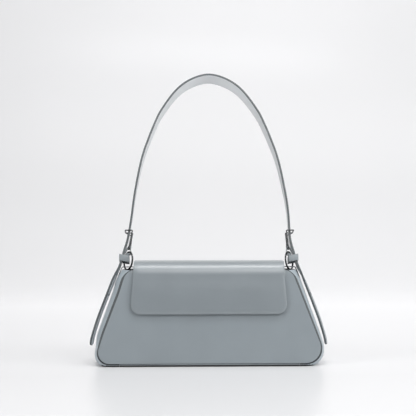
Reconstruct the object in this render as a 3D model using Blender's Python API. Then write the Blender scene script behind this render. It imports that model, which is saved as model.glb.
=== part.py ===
"""Leather shoulder bag with a flap, side gussets, ring tabs and a buckled strap.

Units are metres and +Z is up. The bag stands on its flat base, centred on the origin,
and its front looks towards -Y. Each sub-part is one closed object.
"""
import math

import bpy
import bmesh
from mathutils import Vector

MM = 0.001

# Clearance between pieces that touch, and how far a cutter overruns its work
GAP = 0.3 * MM
CUT_OVERRUN = 2.0 * MM

# Leather and board gauges
PANEL_THICKNESS = 1.6 * MM
FLAP_THICKNESS = 1.4 * MM
GUSSET_THICKNESS = 1.4 * MM
BOARD_THICKNESS = 1.0 * MM
LINING_THICKNESS = 0.6 * MM
TAB_THICKNESS = 0.9 * MM
CHAPE_THICKNESS = 0.9 * MM
KEEPER_THICKNESS = 0.85 * MM
STRAP_THICKNESS = 2.4 * MM

# Body of the bag
BASE_HALF_DEPTH = 33.0 * MM
TOP_HALF_DEPTH = 20.5 * MM
PANEL_TOP = 111.0 * MM
PANEL_BOTTOM = 3.8 * MM
PANEL_HALF_BOTTOM = 136.5 * MM
PANEL_HALF_TOP = 95.5 * MM
PANEL_BOTTOM_RADIUS = 17.5 * MM
PANEL_TOP_RADIUS = 14.0 * MM
PANEL_CROWN = 1.4 * MM
PANEL_REVEAL = 0.5 * MM

# Gussets: how far their middle stands outside the panels, and the open top with its notch
GUSSET_SWELL_BOTTOM = 6.1 * MM
GUSSET_SWELL_TOP = 7.0 * MM
GUSSET_RADIUS = 18.5 * MM
GUSSET_TOP = 110.4 * MM
GUSSET_SHOULDER = 92.0 * MM
GUSSET_SHOULDER_BEND = 0.7 * MM
GUSSET_NOTCH = 103.0 * MM
GUSSET_NOTCH_SLANT = 1.2 * MM
GUSSET_BULGE_POWER_SHARE = 2.3
GUSSET_END_INSET = 32.5 * MM

# Base
BASE_FLAT_SHARE = 0.72
BASE_BOARD_INSET = 5.0 * MM

# Boards and lining behind the panels
BOARD_INSET = 7.0 * MM
LINING_TOP = 104.0 * MM
LINING_SIDE_INSET = 2.8 * MM
LINING_SIDE_BULGE = 0.4 * MM

# Slip pocket on the back lining
POCKET_HALF_WIDTH = 62.0 * MM
POCKET_BOTTOM = 30.0 * MM
POCKET_TOP = 92.0 * MM
POCKET_RADIUS = 9.0 * MM
POCKET_SLOT = 1.6 * MM
POCKET_SEAM = 4.0 * MM

# Flap
FLAP_RING_ROOM = 7.3 * MM
FLAP_FLARE = 3.3 * MM
FLAP_BOTTOM = 60.6 * MM
FLAP_CREST = 120.7 * MM
FLAP_REAR_RADIUS = 7.8 * MM
FLAP_FRONT_RADIUS = 11.0 * MM
FLAP_CORNER_RADIUS = 12.4 * MM
FLAP_STANDOFF = 0.4 * MM
FLAP_BOARD_INSET = 5.0 * MM
FLAP_LINING_INSET = 1.0 * MM

# Hidden magnets of the closure
MAGNET_RADIUS = 6.0 * MM
MAGNET_HEIGHT = 72.0 * MM

# Rings, which also carry the axis that the strap swings on
RING_RADIUS = 10.4 * MM
RING_WIRE_RADIUS = 1.05 * MM
RING_INSET = 0.5 * MM
RING_CENTRE_Z = 120.5 * MM
RING_YAW = math.radians(30.0)
STRAP_LEAN = math.radians(18.0)

# Tabs that hold the rings
TAB_WIDTH = 5.5 * MM
TAB_SIDE_ROOM = 0.35 * MM
TAB_ROOM_ABOVE = 0.15 * MM
TAB_ROOM_BELOW = 0.9 * MM
TAB_LEG = 10.0 * MM
TAB_ROUNDING = 1.6 * MM

# Strap: a tall arch, narrow ends and two free tails
STRAP_WIDTH = 26.0 * MM
STRAP_END_WIDTH = 9.0 * MM
STRAP_EDGE = 0.6 * MM
STRAP_TAPER_POWER_SHARE = 2.2
STRAP_SWAY = 2.3 * MM
SWAY_START = 10.0 * MM
SWAY_END = 65.0 * MM
ARCH_HEIGHT = 235.0 * MM
TAPER_START = 42.0 * MM
TAIL_LENGTH = 99.0 * MM
TAIL_TOP_OUT = 8.5 * MM
TAIL_TIP_OUT = 4.9 * MM
TAIL_STRAIGHT = 6.0 * MM
TAIL_DROOP = 42.0 * MM
ARCH_SHARES = (
    (0.0, 1.0), (0.231, 0.973), (0.426, 0.911), (0.616, 0.80), (0.710, 0.717), (0.789, 0.631),
    (0.852, 0.552), (0.898, 0.470), (0.934, 0.388), (0.964, 0.309), (0.984, 0.231), (0.997, 0.174),
)
TAIL_SHARES = (
    (0.0, 0.02), (0.068, 0.09), (0.20, 0.19), (0.405, 0.37), (0.605, 0.545), (0.80, 0.73),
    (0.956, 0.91), (1.0, 1.0),
)

# Buckle: wire frame, hinge bar and prong, measured from the ring's centre
WIRE_RADIUS = 0.8 * MM
PRONG_RADIUS = 0.65 * MM
PRONG_ROOM = 0.2 * MM
FRAME_SIDE_ROOM = 0.6 * MM
FRAME_CORNER = 1.2 * MM
FRAME_TOP = 36.0 * MM
FRAME_OUT = 4.6 * MM
FRAME_IN = 3.9 * MM
HINGE_BAR_IN = 0.9 * MM
HINGE_BAR_UP = 15.5 * MM
STRAP_BUCKLE_OUT = 1.6 * MM
STRAP_BUCKLE_UP = 24.5 * MM
HOLE_RADIUS = 1.6 * MM
HOLE_UP = 32.4 * MM
HOLE_PITCH = 24.0 * MM
HOLE_COUNT = 4

# Chape and keeper
CHAPE_WIDTH = 5.0 * MM
CHAPE_RING_ROOM = 0.2 * MM
CHAPE_TAIL_OUT = 0.5 * MM
CHAPE_END_DOWN = 2.4 * MM
CHAPE_SEAM_UP = 6.2 * MM
KEEPER_HEIGHT = 8.0 * MM
KEEPER_SIDE_ROOM = 0.25 * MM
KEEPER_TILT = math.radians(10.0)

# Facet counts
ARC_STEPS = 7
LINE_STEPS = 7
SPLINE_STEPS = 4
COLUMN_COUNT = 13
FLAP_FOLD_STATION = 2 * ARC_STEPS + 4
GUSSET_COLUMNS = 11
WIRE_SIDES = 10
RING_STEPS = 40

# Colours in linear light
LEATHER = (0.28, 0.32, 0.345)
LEATHER_EDGE = (0.17, 0.19, 0.20)
LINING_CLOTH = (0.22, 0.24, 0.26)
BOARD_CARD = (0.35, 0.30, 0.24)
GUNMETAL = (0.10, 0.10, 0.11)
STEEL = (0.55, 0.55, 0.56)

# Places that follow from the sizes above
RING_CENTRE_X = PANEL_HALF_TOP - RING_INSET
RING_SWING_REACH = RING_RADIUS * math.sin(RING_YAW)
FLAP_HALF_TOP = RING_CENTRE_X - FLAP_RING_ROOM
GUSSET_END_HALF = PANEL_HALF_BOTTOM - GUSSET_END_INSET
HINGE_BAR_X = RING_CENTRE_X - HINGE_BAR_IN


def clear_scene():
    """Remove whatever the scene holds."""
    for old in list(bpy.data.objects):
        bpy.data.objects.remove(old, do_unlink=True)


def make_material(name, colour, roughness, metallic):
    """A plain material with the part's colour."""
    result = bpy.data.materials.new(name)
    result.use_nodes = True
    shader = result.node_tree.nodes["Principled BSDF"]
    shader.inputs["Base Color"].default_value = (*colour, 1.0)
    shader.inputs["Roughness"].default_value = roughness
    shader.inputs["Metallic"].default_value = metallic
    return result


def make_object(name, points, faces, look, origin=Vector((0, 0, 0))):
    """One named object whose own origin lies at the given world point."""
    mesh = bpy.data.meshes.new(name)
    mesh.from_pydata([tuple(Vector(point) - origin) for point in points], [], faces)
    work = bmesh.new()
    work.from_mesh(mesh)
    bmesh.ops.recalc_face_normals(work, faces=work.faces)
    work.to_mesh(mesh)
    work.free()
    mesh.shade_smooth()
    mesh.set_sharp_from_angle(angle=math.radians(40))
    result = bpy.data.objects.new(name, mesh)
    result.location = origin
    colour, roughness, metallic = look
    result.data.materials.append(make_material(name, colour, roughness, metallic))
    bpy.context.collection.objects.link(result)
    return result


def make_cutter(name, points, faces, origin=Vector((0, 0, 0))):
    """A hidden solid that a Boolean modifier takes away."""
    result = make_object(name, points, faces, (STEEL, 0.5, 0.0), origin)
    result.hide_render = True
    result.display_type = "WIRE"
    return result


def cut(target, cutter):
    """Take the cutter out of the target."""
    modifier = target.modifiers.new("cut_" + cutter.name, "BOOLEAN")
    modifier.operation = "DIFFERENCE"
    modifier.solver = "EXACT"
    modifier.object = cutter


def slab(outer, inner):
    """Close two grids of the same size into one solid with a rim."""
    rows = len(outer)
    columns = len(outer[0])
    points = [point for row in outer for point in row]
    points += [point for row in inner for point in row]
    back = rows * columns
    faces = []
    for i in range(rows - 1):
        for j in range(columns - 1):
            a = i * columns + j
            faces.append((a, a + 1, a + columns + 1, a + columns))
            faces.append((back + a, back + a + columns, back + a + columns + 1, back + a + 1))
    border = [j for j in range(columns)]
    border += [i * columns + columns - 1 for i in range(1, rows)]
    border += [(rows - 1) * columns + j for j in range(columns - 2, -1, -1)]
    border += [i * columns for i in range(rows - 2, 0, -1)]
    for here, after in zip(border, border[1:] + border[:1]):
        faces.append((after, here, back + here, back + after))
    return points, faces


def skin(rings, closed):
    """Join rings of points into a tube, either capped or running back into itself."""
    count = len(rings[0])
    points = [point for ring in rings for point in ring]
    faces = []
    last = len(rings) if closed else len(rings) - 1
    for i in range(last):
        a = i * count
        b = ((i + 1) % len(rings)) * count
        for j in range(count):
            k = (j + 1) % count
            faces.append((a + j, a + k, b + k, b + j))
    if not closed:
        faces.append(tuple(range(count)))
        end = (len(rings) - 1) * count
        faces.append(tuple(range(end + count - 1, end - 1, -1)))
    return points, faces


def tangents(path, closed):
    """Unit direction at each point of a path."""
    result = []
    count = len(path)
    for i in range(count):
        before = path[(i - 1) % count] if closed or i > 0 else path[i]
        after = path[(i + 1) % count] if closed or i < count - 1 else path[i]
        result.append((after - before).normalized())
    return result


def wire(path, radius, closed, sides=WIRE_SIDES):
    """A round wire along a path, with its rings turned as little as possible."""
    along = tangents(path, closed)
    seed = Vector((0, 0, 1)) if abs(along[0].z) < 0.9 else Vector((1, 0, 0))
    normal = (seed - along[0] * seed.dot(along[0])).normalized()
    rings = []
    for point, direction in zip(path, along):
        normal = (normal - direction * normal.dot(direction)).normalized()
        other = direction.cross(normal)
        ring = []
        for k in range(sides):
            turn = 2 * math.pi * k / sides
            ring.append(point + (normal * math.cos(turn) + other * math.sin(turn)) * radius)
        rings.append(ring)
    return skin(rings, closed)


def ribbon(path, wide, half_widths, thickness, closed, edge):
    """A flat band along a path: wide gives the direction of its width at each point."""
    along = tangents(path, closed)
    rings = []
    for point, direction, side, half in zip(path, along, wide, half_widths):
        across = (side - direction * side.dot(direction)).normalized()
        out = direction.cross(across).normalized()
        deep = thickness / 2
        soft = min(edge, deep * 0.9, half * 0.9)
        corners = (
            (half, deep - soft), (half - soft, deep), (soft - half, deep), (-half, deep - soft),
            (-half, soft - deep), (soft - half, -deep), (half - soft, -deep), (half, soft - deep),
        )
        rings.append([point + across * u + out * v for u, v in corners])
    return skin(rings, closed)


def fillet(before, corner, after, radius, steps):
    """Points of the arc that rounds a corner between two straight lines."""
    back = (before - corner).normalized()
    ahead = (after - corner).normalized()
    half_angle = back.angle(ahead) / 2
    reach = radius / math.tan(half_angle)
    start = corner + back * reach
    centre = corner + (back + ahead).normalized() * (radius / math.sin(half_angle))
    first = start - centre
    last = corner + ahead * reach - centre
    sweep = first.angle(last)
    side = (last - first * math.cos(sweep)) / math.sin(sweep)
    result = []
    for k in range(steps + 1):
        turn = sweep * k / steps
        result.append(centre + first * math.cos(turn) + side * math.sin(turn))
    return result


def rounded_path(corners, radii, steps, closed=False):
    """A path through corners, each one rounded by its own radius."""
    result = []
    count = len(corners)
    for i, (corner, radius) in enumerate(zip(corners, radii)):
        if radius and (closed or 0 < i < count - 1):
            result += fillet(corners[i - 1], corner, corners[(i + 1) % count], radius, steps)
        else:
            result.append(corner)
    return result


def spline(knots, steps):
    """Smooth curve through two-number knots, with the given steps in each span."""
    result = []
    points = [Vector(knot) for knot in knots]
    points = [points[0] * 2 - points[1]] + points + [points[-1] * 2 - points[-2]]
    for i in range(1, len(points) - 2):
        p0, p1, p2, p3 = points[i - 1:i + 3]
        for k in range(steps):
            t = k / steps
            result.append(0.5 * (2 * p1 + (p2 - p0) * t + (2 * p0 - 5 * p1 + 4 * p2 - p3) * t * t
                                 + (3 * p1 - p0 - 3 * p2 + p3) * t * t * t))
    result.append(points[-2])
    return result


def side_line(half_bottom, bottom, half_top, top, low_radius, high_radius):
    """Right-hand outline of a tapered panel as (half width, height), from bottom to top."""
    foot = Vector((0, bottom))
    low = Vector((half_bottom, bottom))
    high = Vector((half_top, top))
    head = Vector((0, top))
    result = fillet(foot, low, high, low_radius, ARC_STEPS)
    upper = fillet(low, high, head, high_radius, ARC_STEPS) if high_radius else [high]
    start = result[-1]
    for k in range(1, LINE_STEPS):
        result.append(start.lerp(upper[0], k / LINE_STEPS))
    return result + upper


def inset_line(inset, bottom, top, low_radius, high_radius):
    """Side line of a sheet that stands parallel to the panel's edge, drawn in by an inset."""
    lean = (PANEL_HALF_BOTTOM - PANEL_HALF_TOP) / (PANEL_TOP - PANEL_BOTTOM)
    shrink = inset * math.sqrt(1 + lean * lean)
    low = PANEL_HALF_BOTTOM - shrink - lean * (bottom - PANEL_BOTTOM)
    high = PANEL_HALF_BOTTOM - shrink - lean * (top - PANEL_BOTTOM)
    return side_line(low, bottom, high, top, low_radius, high_radius)


def panel_outline(inset):
    """Outline of the front and back panels, drawn in by an inset."""
    low_radius = PANEL_BOTTOM_RADIUS - min(inset, PANEL_BOTTOM_RADIUS / 2)
    high_radius = PANEL_TOP_RADIUS - min(inset, PANEL_TOP_RADIUS / 2)
    return inset_line(inset, PANEL_BOTTOM + inset, PANEL_TOP - inset, low_radius, high_radius)


def half_depth(z):
    """Half of the bag's depth at a height, without the panels' crown."""
    return BASE_HALF_DEPTH + (TOP_HALF_DEPTH - BASE_HALF_DEPTH) * z / PANEL_TOP


def face_depth(x, z):
    """Distance of a panel's outer face from the middle plane."""
    across = max(0.0, 1 - (x / PANEL_HALF_BOTTOM) ** 2)
    upward = math.sin(math.pi * min(1.0, max(0.0, z / PANEL_TOP)))
    return half_depth(z) + PANEL_CROWN * across * upward


def panel_slab(outline, facing, outer_offset, thickness, columns=COLUMN_COUNT):
    """A sheet that follows a panel at some offset behind its outer face."""
    shares = [2 * j / (columns - 1) - 1 for j in range(columns)]
    outer = []
    inner = []
    for half, z in outline:
        near = [face_depth(half * share, z) - outer_offset for share in shares]
        outer.append([Vector((half * s, facing * y, z)) for s, y in zip(shares, near)])
        inner.append([Vector((half * s, facing * (y - thickness), z)) for s, y in zip(shares, near)])
    return slab(outer, inner)


def cylinder(centre, axis, radius, length, sides=24):
    """A capped cylinder around its centre."""
    half = axis.normalized() * (length / 2)
    return wire([centre - half, centre + half], radius, False, sides)


def magnet_centre_y(offset, z):
    """Signed depth of a sheet near the magnets, on the front side."""
    return -(face_depth(0, z) - offset)


def front_normal():
    """Direction that the front panel looks in, at the magnets' height."""
    slope = (BASE_HALF_DEPTH - TOP_HALF_DEPTH) / PANEL_TOP
    return Vector((0, -1, slope)).normalized()


def build_panels():
    """Front and back leather panels, with the boards that stiffen them."""
    leather = (LEATHER, 0.45, 0.0)
    card = (BOARD_CARD, 0.9, 0.0)
    make_object("front_panel", *panel_slab(panel_outline(0), -1, 0, PANEL_THICKNESS), leather)
    make_object("back_panel", *panel_slab(panel_outline(0), 1, 0, PANEL_THICKNESS), leather)
    board_offset = PANEL_THICKNESS + GAP
    outline = panel_outline(BOARD_INSET)
    front_board = make_object("front_board", *panel_slab(outline, -1, board_offset, BOARD_THICKNESS),
                              card)
    make_object("back_board", *panel_slab(outline, 1, board_offset, BOARD_THICKNESS), card)
    centre = Vector((0, magnet_centre_y(board_offset + BOARD_THICKNESS / 2, MAGNET_HEIGHT), MAGNET_HEIGHT))
    cutter = make_cutter("front_board_hole", *cylinder(centre, front_normal(), MAGNET_RADIUS + GAP,
                                                       BOARD_THICKNESS + 2 * CUT_OVERRUN))
    cut(front_board, cutter)
    make_object("panel_magnet", *cylinder(centre, front_normal(), MAGNET_RADIUS, BOARD_THICKNESS - GAP),
                (STEEL, 0.35, 1.0))


def gusset_middle(z):
    """Outer face of the gusset at its middle, below the shoulder, for a height."""
    low = PANEL_HALF_BOTTOM + GUSSET_SWELL_BOTTOM
    high = PANEL_HALF_TOP + GUSSET_SWELL_TOP
    return low + (high - low) * z / GUSSET_TOP


def gusset_lines():
    """Matching stations of the seam line and of the outer line, from the base to the top."""
    low = PANEL_BOTTOM - GAP
    high = PANEL_TOP - PANEL_REVEAL
    seam = side_line(PANEL_HALF_BOTTOM - PANEL_REVEAL, low, PANEL_HALF_TOP - PANEL_REVEAL, high,
                     PANEL_BOTTOM_RADIUS, PANEL_TOP_RADIUS)
    shoulder = Vector((gusset_middle(GUSSET_SHOULDER), GUSSET_SHOULDER))
    outer = side_line(gusset_middle(0), 0, shoulder.x, shoulder.y, GUSSET_RADIUS, 0)
    crest = Vector((RING_CENTRE_X + TAB_THICKNESS + tab_half_room(), GUSSET_TOP))
    bend = (shoulder + crest) / 2 + Vector((GUSSET_SHOULDER_BEND, GUSSET_SHOULDER_BEND))
    for k in range(1, ARC_STEPS + 1):
        t = k / ARC_STEPS
        outer.append(shoulder * (1 - t) ** 2 + bend * (2 * t * (1 - t)) + crest * t ** 2)
    middle = (GUSSET_END_HALF + seam[0].x) / 2
    seam = [Vector((GUSSET_END_HALF, seam[0].y)), Vector((middle, seam[0].y))] + seam
    outer = [Vector((GUSSET_END_HALF, 0)), Vector((middle, 0))] + outer
    return seam, outer


def bulge(share, side):
    """How far the gusset stands out between its two seams: flat below, round at the side."""
    reach = max(0.0, (abs(share) - BASE_FLAT_SHARE) / (1 - BASE_FLAT_SHARE))
    flat = 1 - reach * reach
    curved = 1 - abs(share) ** GUSSET_BULGE_POWER_SHARE
    return flat * (1 - side) + curved * side


def gusset_notch_share():
    """Half of the notch's width, clear of the tab, as a share of the gusset's half depth."""
    reach = half_depth(GUSSET_TOP) - PANEL_THICKNESS - GAP
    return (TAB_WIDTH / 2 + GAP) / reach


def gusset_shares():
    """Columns of the gusset as shares of its half depth, with two at each side of the notch."""
    steps = GUSSET_COLUMNS - 1
    columns = [math.sin(math.pi / 2 * (2 * j / steps - 1)) for j in range(GUSSET_COLUMNS)]
    near = gusset_notch_share()
    far = near * (1 + GUSSET_NOTCH_SLANT / (TAB_WIDTH / 2 + GAP))
    return sorted(columns + [-far, -near, near, far])


def gusset_grid():
    """Outer face of the right gusset as rows of points from the base up."""
    seam, outer = gusset_lines()
    corner = ARC_STEPS + 2
    shoulder = len(outer) - 1 - ARC_STEPS
    notch = (GUSSET_NOTCH - GUSSET_SHOULDER) / (GUSSET_TOP - GUSSET_SHOULDER)
    rows = []
    for i, (low, high) in enumerate(zip(seam, outer)):
        side = min(1.0, max(0.0, (i - 1) / (corner - 1)))
        row = []
        for share in gusset_shares():
            spot = low + (high - low) * bulge(share, side)
            if i > shoulder and abs(share) <= gusset_notch_share():
                place = shoulder + (i - shoulder) * notch
                start = int(place)
                top = outer[start].lerp(outer[min(start + 1, len(outer) - 1)], place - start)
                foot = seam[start].lerp(seam[min(start + 1, len(seam) - 1)], place - start)
                spot = foot + (top - foot) * bulge(share, side)
            reach = half_depth(spot.y) - PANEL_THICKNESS - GAP
            row.append(Vector((spot.x, share * reach, spot.y)))
        rows.append(row)
    return rows


def grid_normals(rows):
    """Unit normal at each point of a grid, from its neighbours."""
    result = []
    last = len(rows) - 1
    for i, row in enumerate(rows):
        line = []
        for j in range(len(row)):
            up = rows[min(i + 1, last)][j] - rows[max(i - 1, 0)][j]
            over = row[min(j + 1, len(row) - 1)] - row[max(j - 1, 0)]
            line.append(over.cross(up).normalized())
        result.append(line)
    return result


def mirrored(points):
    """The same points on the other side of the bag."""
    return [Vector((-point.x, point.y, point.z)) for point in points]


def tab_half_room():
    """Half of the tab's inner span, which clears the ring in every position."""
    return RING_SWING_REACH + RING_WIRE_RADIUS + TAB_SIDE_ROOM


def tab_drop():
    """How far the tab's inner top lies below the ring axis, clear of the turned ring."""
    half = TAB_WIDTH / 2
    nearest = RING_RADIUS * math.cos(RING_YAW)
    wire_drop = nearest * math.sqrt(1 - (half / RING_RADIUS) ** 2)
    return wire_drop - RING_WIRE_RADIUS - TAB_ROOM_ABOVE


def tab_path():
    """Centre line of the right tab: up the outside, over the ring and down the inside."""
    half = TAB_THICKNESS / 2
    wide = tab_half_room() + half
    ceiling = RING_CENTRE_Z - tab_drop() + half
    floor = RING_CENTRE_Z - RING_RADIUS - RING_WIRE_RADIUS - TAB_ROOM_BELOW - half
    rows = gusset_grid()
    middle = len(rows[0]) // 2
    head = rows[-1][middle]
    up = (head - rows[-1 - ARC_STEPS][middle]).normalized()
    out = Vector((up.z, 0, -up.x))
    outer_top = head + out * (GAP + half) + up * GAP
    inner_top = head - out * (GUSSET_THICKNESS + GAP + half) + up * TAB_ROUNDING
    corners = [
        outer_top - up * TAB_LEG,
        outer_top,
        Vector((RING_CENTRE_X + wide, 0, ceiling)),
        Vector((RING_CENTRE_X - wide, 0, ceiling)),
        Vector((RING_CENTRE_X - wide, 0, floor)),
        inner_top,
        inner_top - up * TAB_LEG,
    ]
    radii = [0, TAB_ROUNDING, TAB_ROUNDING, TAB_ROUNDING, TAB_ROUNDING / 2, TAB_ROUNDING, 0]
    return rounded_path(corners, radii, 4)


def build_gussets():
    """Both gussets with their ring tabs."""
    outer = gusset_grid()
    normals = grid_normals(outer)
    inner = []
    for row, line in zip(outer, normals):
        inner.append([point - normal * GUSSET_THICKNESS for point, normal in zip(row, line)])
    points, faces = slab(outer, inner)
    path = tab_path()
    wide = [Vector((0, 1, 0))] * len(path)
    halves = [TAB_WIDTH / 2] * len(path)
    tab_points, tab_faces = ribbon(path, wide, halves, TAB_THICKNESS, False, STRAP_EDGE / 2)
    leather = (LEATHER, 0.45, 0.0)
    make_object("gusset_right", points, faces, leather)
    make_object("gusset_left", mirrored(points), faces, leather)
    make_object("ring_tab_right", tab_points, tab_faces, leather)
    make_object("ring_tab_left", mirrored(tab_points), tab_faces, leather)


def build_base():
    """Base panel with turned-up sides, and the board on it."""
    columns = 2 * GUSSET_COLUMNS - 1
    end = GUSSET_END_HALF - GAP
    outer = []
    inner = []
    for i in range(LINE_STEPS + 1):
        x = end * (2 * i / LINE_STEPS - 1)
        low = []
        high = []
        for j in range(columns):
            share = math.sin(math.pi / 2 * (2 * j / (columns - 1) - 1))
            z = (PANEL_BOTTOM - GAP) * (1 - bulge(share, 0))
            y = share * (half_depth(z) - PANEL_THICKNESS - GAP)
            low.append(Vector((x, y, z)))
            high.append(Vector((x, y * (1 - GAP / BASE_HALF_DEPTH), z + PANEL_THICKNESS)))
        outer.append(low)
        inner.append(high)
    points, faces = slab(outer, inner)
    make_object("base_panel", points, faces, (LEATHER, 0.5, 0.0))
    reach = (half_depth(0) - PANEL_THICKNESS) * BASE_FLAT_SHARE - GAP
    low_z = PANEL_THICKNESS + GAP
    corner_x = end - BASE_BOARD_INSET
    flat = [Vector((-corner_x, -reach)), Vector((corner_x, -reach)),
            Vector((corner_x, reach)), Vector((-corner_x, reach))]
    outline = rounded_path(flat, [BASE_BOARD_INSET] * len(flat), 4, closed=True)
    rings = [[Vector((p.x, p.y, z)) for p in outline] for z in (low_z, low_z + BOARD_THICKNESS)]
    make_object("base_board", *skin(rings, False), (BOARD_CARD, 0.9, 0.0))


def lining_line(inset):
    """Side line of the lining pouch, drawn in by an inset of its own."""
    total = LINING_SIDE_INSET + inset
    return inset_line(total, PANEL_BOTTOM + total, LINING_TOP, PANEL_BOTTOM_RADIUS - total, 0)


def lining_loop(half, z, inset):
    """Closed outline of the lining at a height, for its half width there."""
    layers = PANEL_THICKNESS + BOARD_THICKNESS + 2 * GAP + inset
    shares = [2 * j / 8 - 1 for j in range(9)]
    front = [Vector((half * s, -(face_depth(half * s, z) - layers), z)) for s in shares]
    back = [Vector((-half * s, face_depth(half * s, z) - layers, z)) for s in shares]
    edge = half_depth(z) - layers
    side_shares = (-0.6, 0, 0.6)
    right = [Vector((half + LINING_SIDE_BULGE * (1 - s * s), edge * s, z)) for s in side_shares]
    left = [Vector((-half - LINING_SIDE_BULGE * (1 - s * s), -edge * s, z)) for s in side_shares]
    return front + right + back + left


def build_lining():
    """Open-topped lining pouch and the slip pocket on its back wall."""
    outside = [lining_loop(spot.x, spot.y, 0) for spot in lining_line(0)]
    inside = [lining_loop(spot.x, spot.y, LINING_THICKNESS) for spot in lining_line(LINING_THICKNESS)]
    make_object("body_lining", *skin(outside + inside[::-1], False), (LINING_CLOTH, 0.8, 0.0))
    layers = PANEL_THICKNESS + BOARD_THICKNESS + 3 * GAP + LINING_THICKNESS
    build_pocket(layers)


def build_pocket(offset):
    """Flat patch pocket, open at the top, with its border standing on the lining."""
    seam = POCKET_SEAM / POCKET_HALF_WIDTH
    columns = [-1, seam - 1, seam - 1 + GAP / POCKET_HALF_WIDTH]
    columns += [-0.5, 0, 0.5]
    columns += [1 - seam - GAP / POCKET_HALF_WIDTH, 1 - seam, 1]
    foot = Vector((0, POCKET_BOTTOM))
    low = Vector((POCKET_HALF_WIDTH, POCKET_BOTTOM))
    high = Vector((POCKET_HALF_WIDTH, POCKET_TOP))
    outline = fillet(foot, low, high, POCKET_RADIUS, ARC_STEPS) + [(low + high) / 2, high]
    plate = POCKET_SLOT + LINING_THICKNESS
    front = []
    back = []
    for half, z in outline:
        front_row = []
        back_row = []
        for share in columns:
            x = half * share
            y = face_depth(x, z) - offset
            hollow = abs(share) < 1 - seam and z > POCKET_BOTTOM + POCKET_SEAM
            front_row.append(Vector((x, y - plate, z)))
            back_row.append(Vector((x, y - (POCKET_SLOT if hollow else 0), z)))
        front.append(front_row)
        back.append(back_row)
    make_object("slip_pocket", *slab(front, back), (LINING_CLOTH, 0.8, 0.0))


def flap_profile():
    """Outer line of the flap as (y, z) from the hinge over the top to the lower edge."""
    stack = 2 * GAP + FLAP_THICKNESS + BOARD_THICKNESS + LINING_THICKNESS + FLAP_STANDOFF
    hinge = Vector((half_depth(PANEL_TOP), PANEL_TOP + GAP))
    rear_top = Vector((half_depth(PANEL_TOP), FLAP_CREST))
    front_low = Vector((-half_depth(FLAP_BOTTOM) - stack, FLAP_BOTTOM))
    lean = (BASE_HALF_DEPTH - TOP_HALF_DEPTH) / PANEL_TOP
    front_top = Vector((front_low.x + lean * (FLAP_CREST - FLAP_BOTTOM), FLAP_CREST))
    rear = fillet(hinge, rear_top, front_top, FLAP_REAR_RADIUS, ARC_STEPS)
    fore = fillet(rear_top, front_top, front_low, FLAP_FRONT_RADIUS, ARC_STEPS)
    path = [hinge] + rear
    path += [rear[-1].lerp(fore[0], k / 3) for k in (1, 2)]
    path += fore
    start = fore[-1]
    straight = (front_low - start).length
    stops = [k / 3 * (straight - FLAP_CORNER_RADIUS) for k in (1, 2, 3)]
    for k in range(1, ARC_STEPS + 1):
        turn = math.pi / 2 * k / ARC_STEPS
        stops.append(straight - FLAP_CORNER_RADIUS * (1 - math.sin(turn)))
    direction = (front_low - start).normalized()
    return path + [start + direction * stop for stop in stops]


def flap_sheet(depth, thickness, inset):
    """One layer of the flap at a depth below its outer face."""
    path = flap_profile()
    lengths = [0.0]
    for here, after in zip(path, path[1:]):
        lengths.append(lengths[-1] + (after - here).length)
    total = lengths[-1]
    fold = lengths[FLAP_FOLD_STATION]
    outer = []
    inner = []
    for i, spot in enumerate(path):
        before = path[max(0, i - 1)]
        after = path[min(len(path) - 1, i + 1)]
        along = (after - before).normalized()
        normal = Vector((-along.y, along.x))
        left = total - lengths[i]
        place = lengths[i]
        if inset:
            place = min(max(place, inset), total - inset)
            left = total - place
            spot = point_on(path, lengths, place)
        half = FLAP_HALF_TOP + FLAP_FLARE * max(0.0, (place - fold) / (total - fold)) - inset
        if left - inset < FLAP_CORNER_RADIUS - inset:
            radius = FLAP_CORNER_RADIUS - inset
            drop = radius - (left - inset)
            half -= radius - math.sqrt(max(0.0, radius * radius - drop * drop))
        if outer and inset and (spot - last_spot).length < GAP:
            continue
        last_spot = spot
        row_out = []
        row_in = []
        for j in range(COLUMN_COUNT):
            x = half * (2 * j / (COLUMN_COUNT - 1) - 1)
            swell = 0.0
            if spot.x < 0:
                swell = face_depth(x, spot.y) - half_depth(spot.y)
            upper = spot + normal * depth
            lower = spot + normal * (depth + thickness)
            row_out.append(Vector((x, upper.x - swell, upper.y)))
            row_in.append(Vector((x, lower.x - swell, lower.y)))
        outer.append(row_out)
        inner.append(row_in)
    return slab(outer, inner)


def point_on(path, lengths, place):
    """Point of a path at a distance along it."""
    for i in range(1, len(path)):
        if lengths[i] >= place:
            share = (place - lengths[i - 1]) / (lengths[i] - lengths[i - 1])
            return path[i - 1].lerp(path[i], share)
    return path[-1]


def flap_hinge():
    """Point on the flap's hinge axis."""
    return Vector((0, half_depth(PANEL_TOP), PANEL_TOP + GAP / 2))


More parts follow.
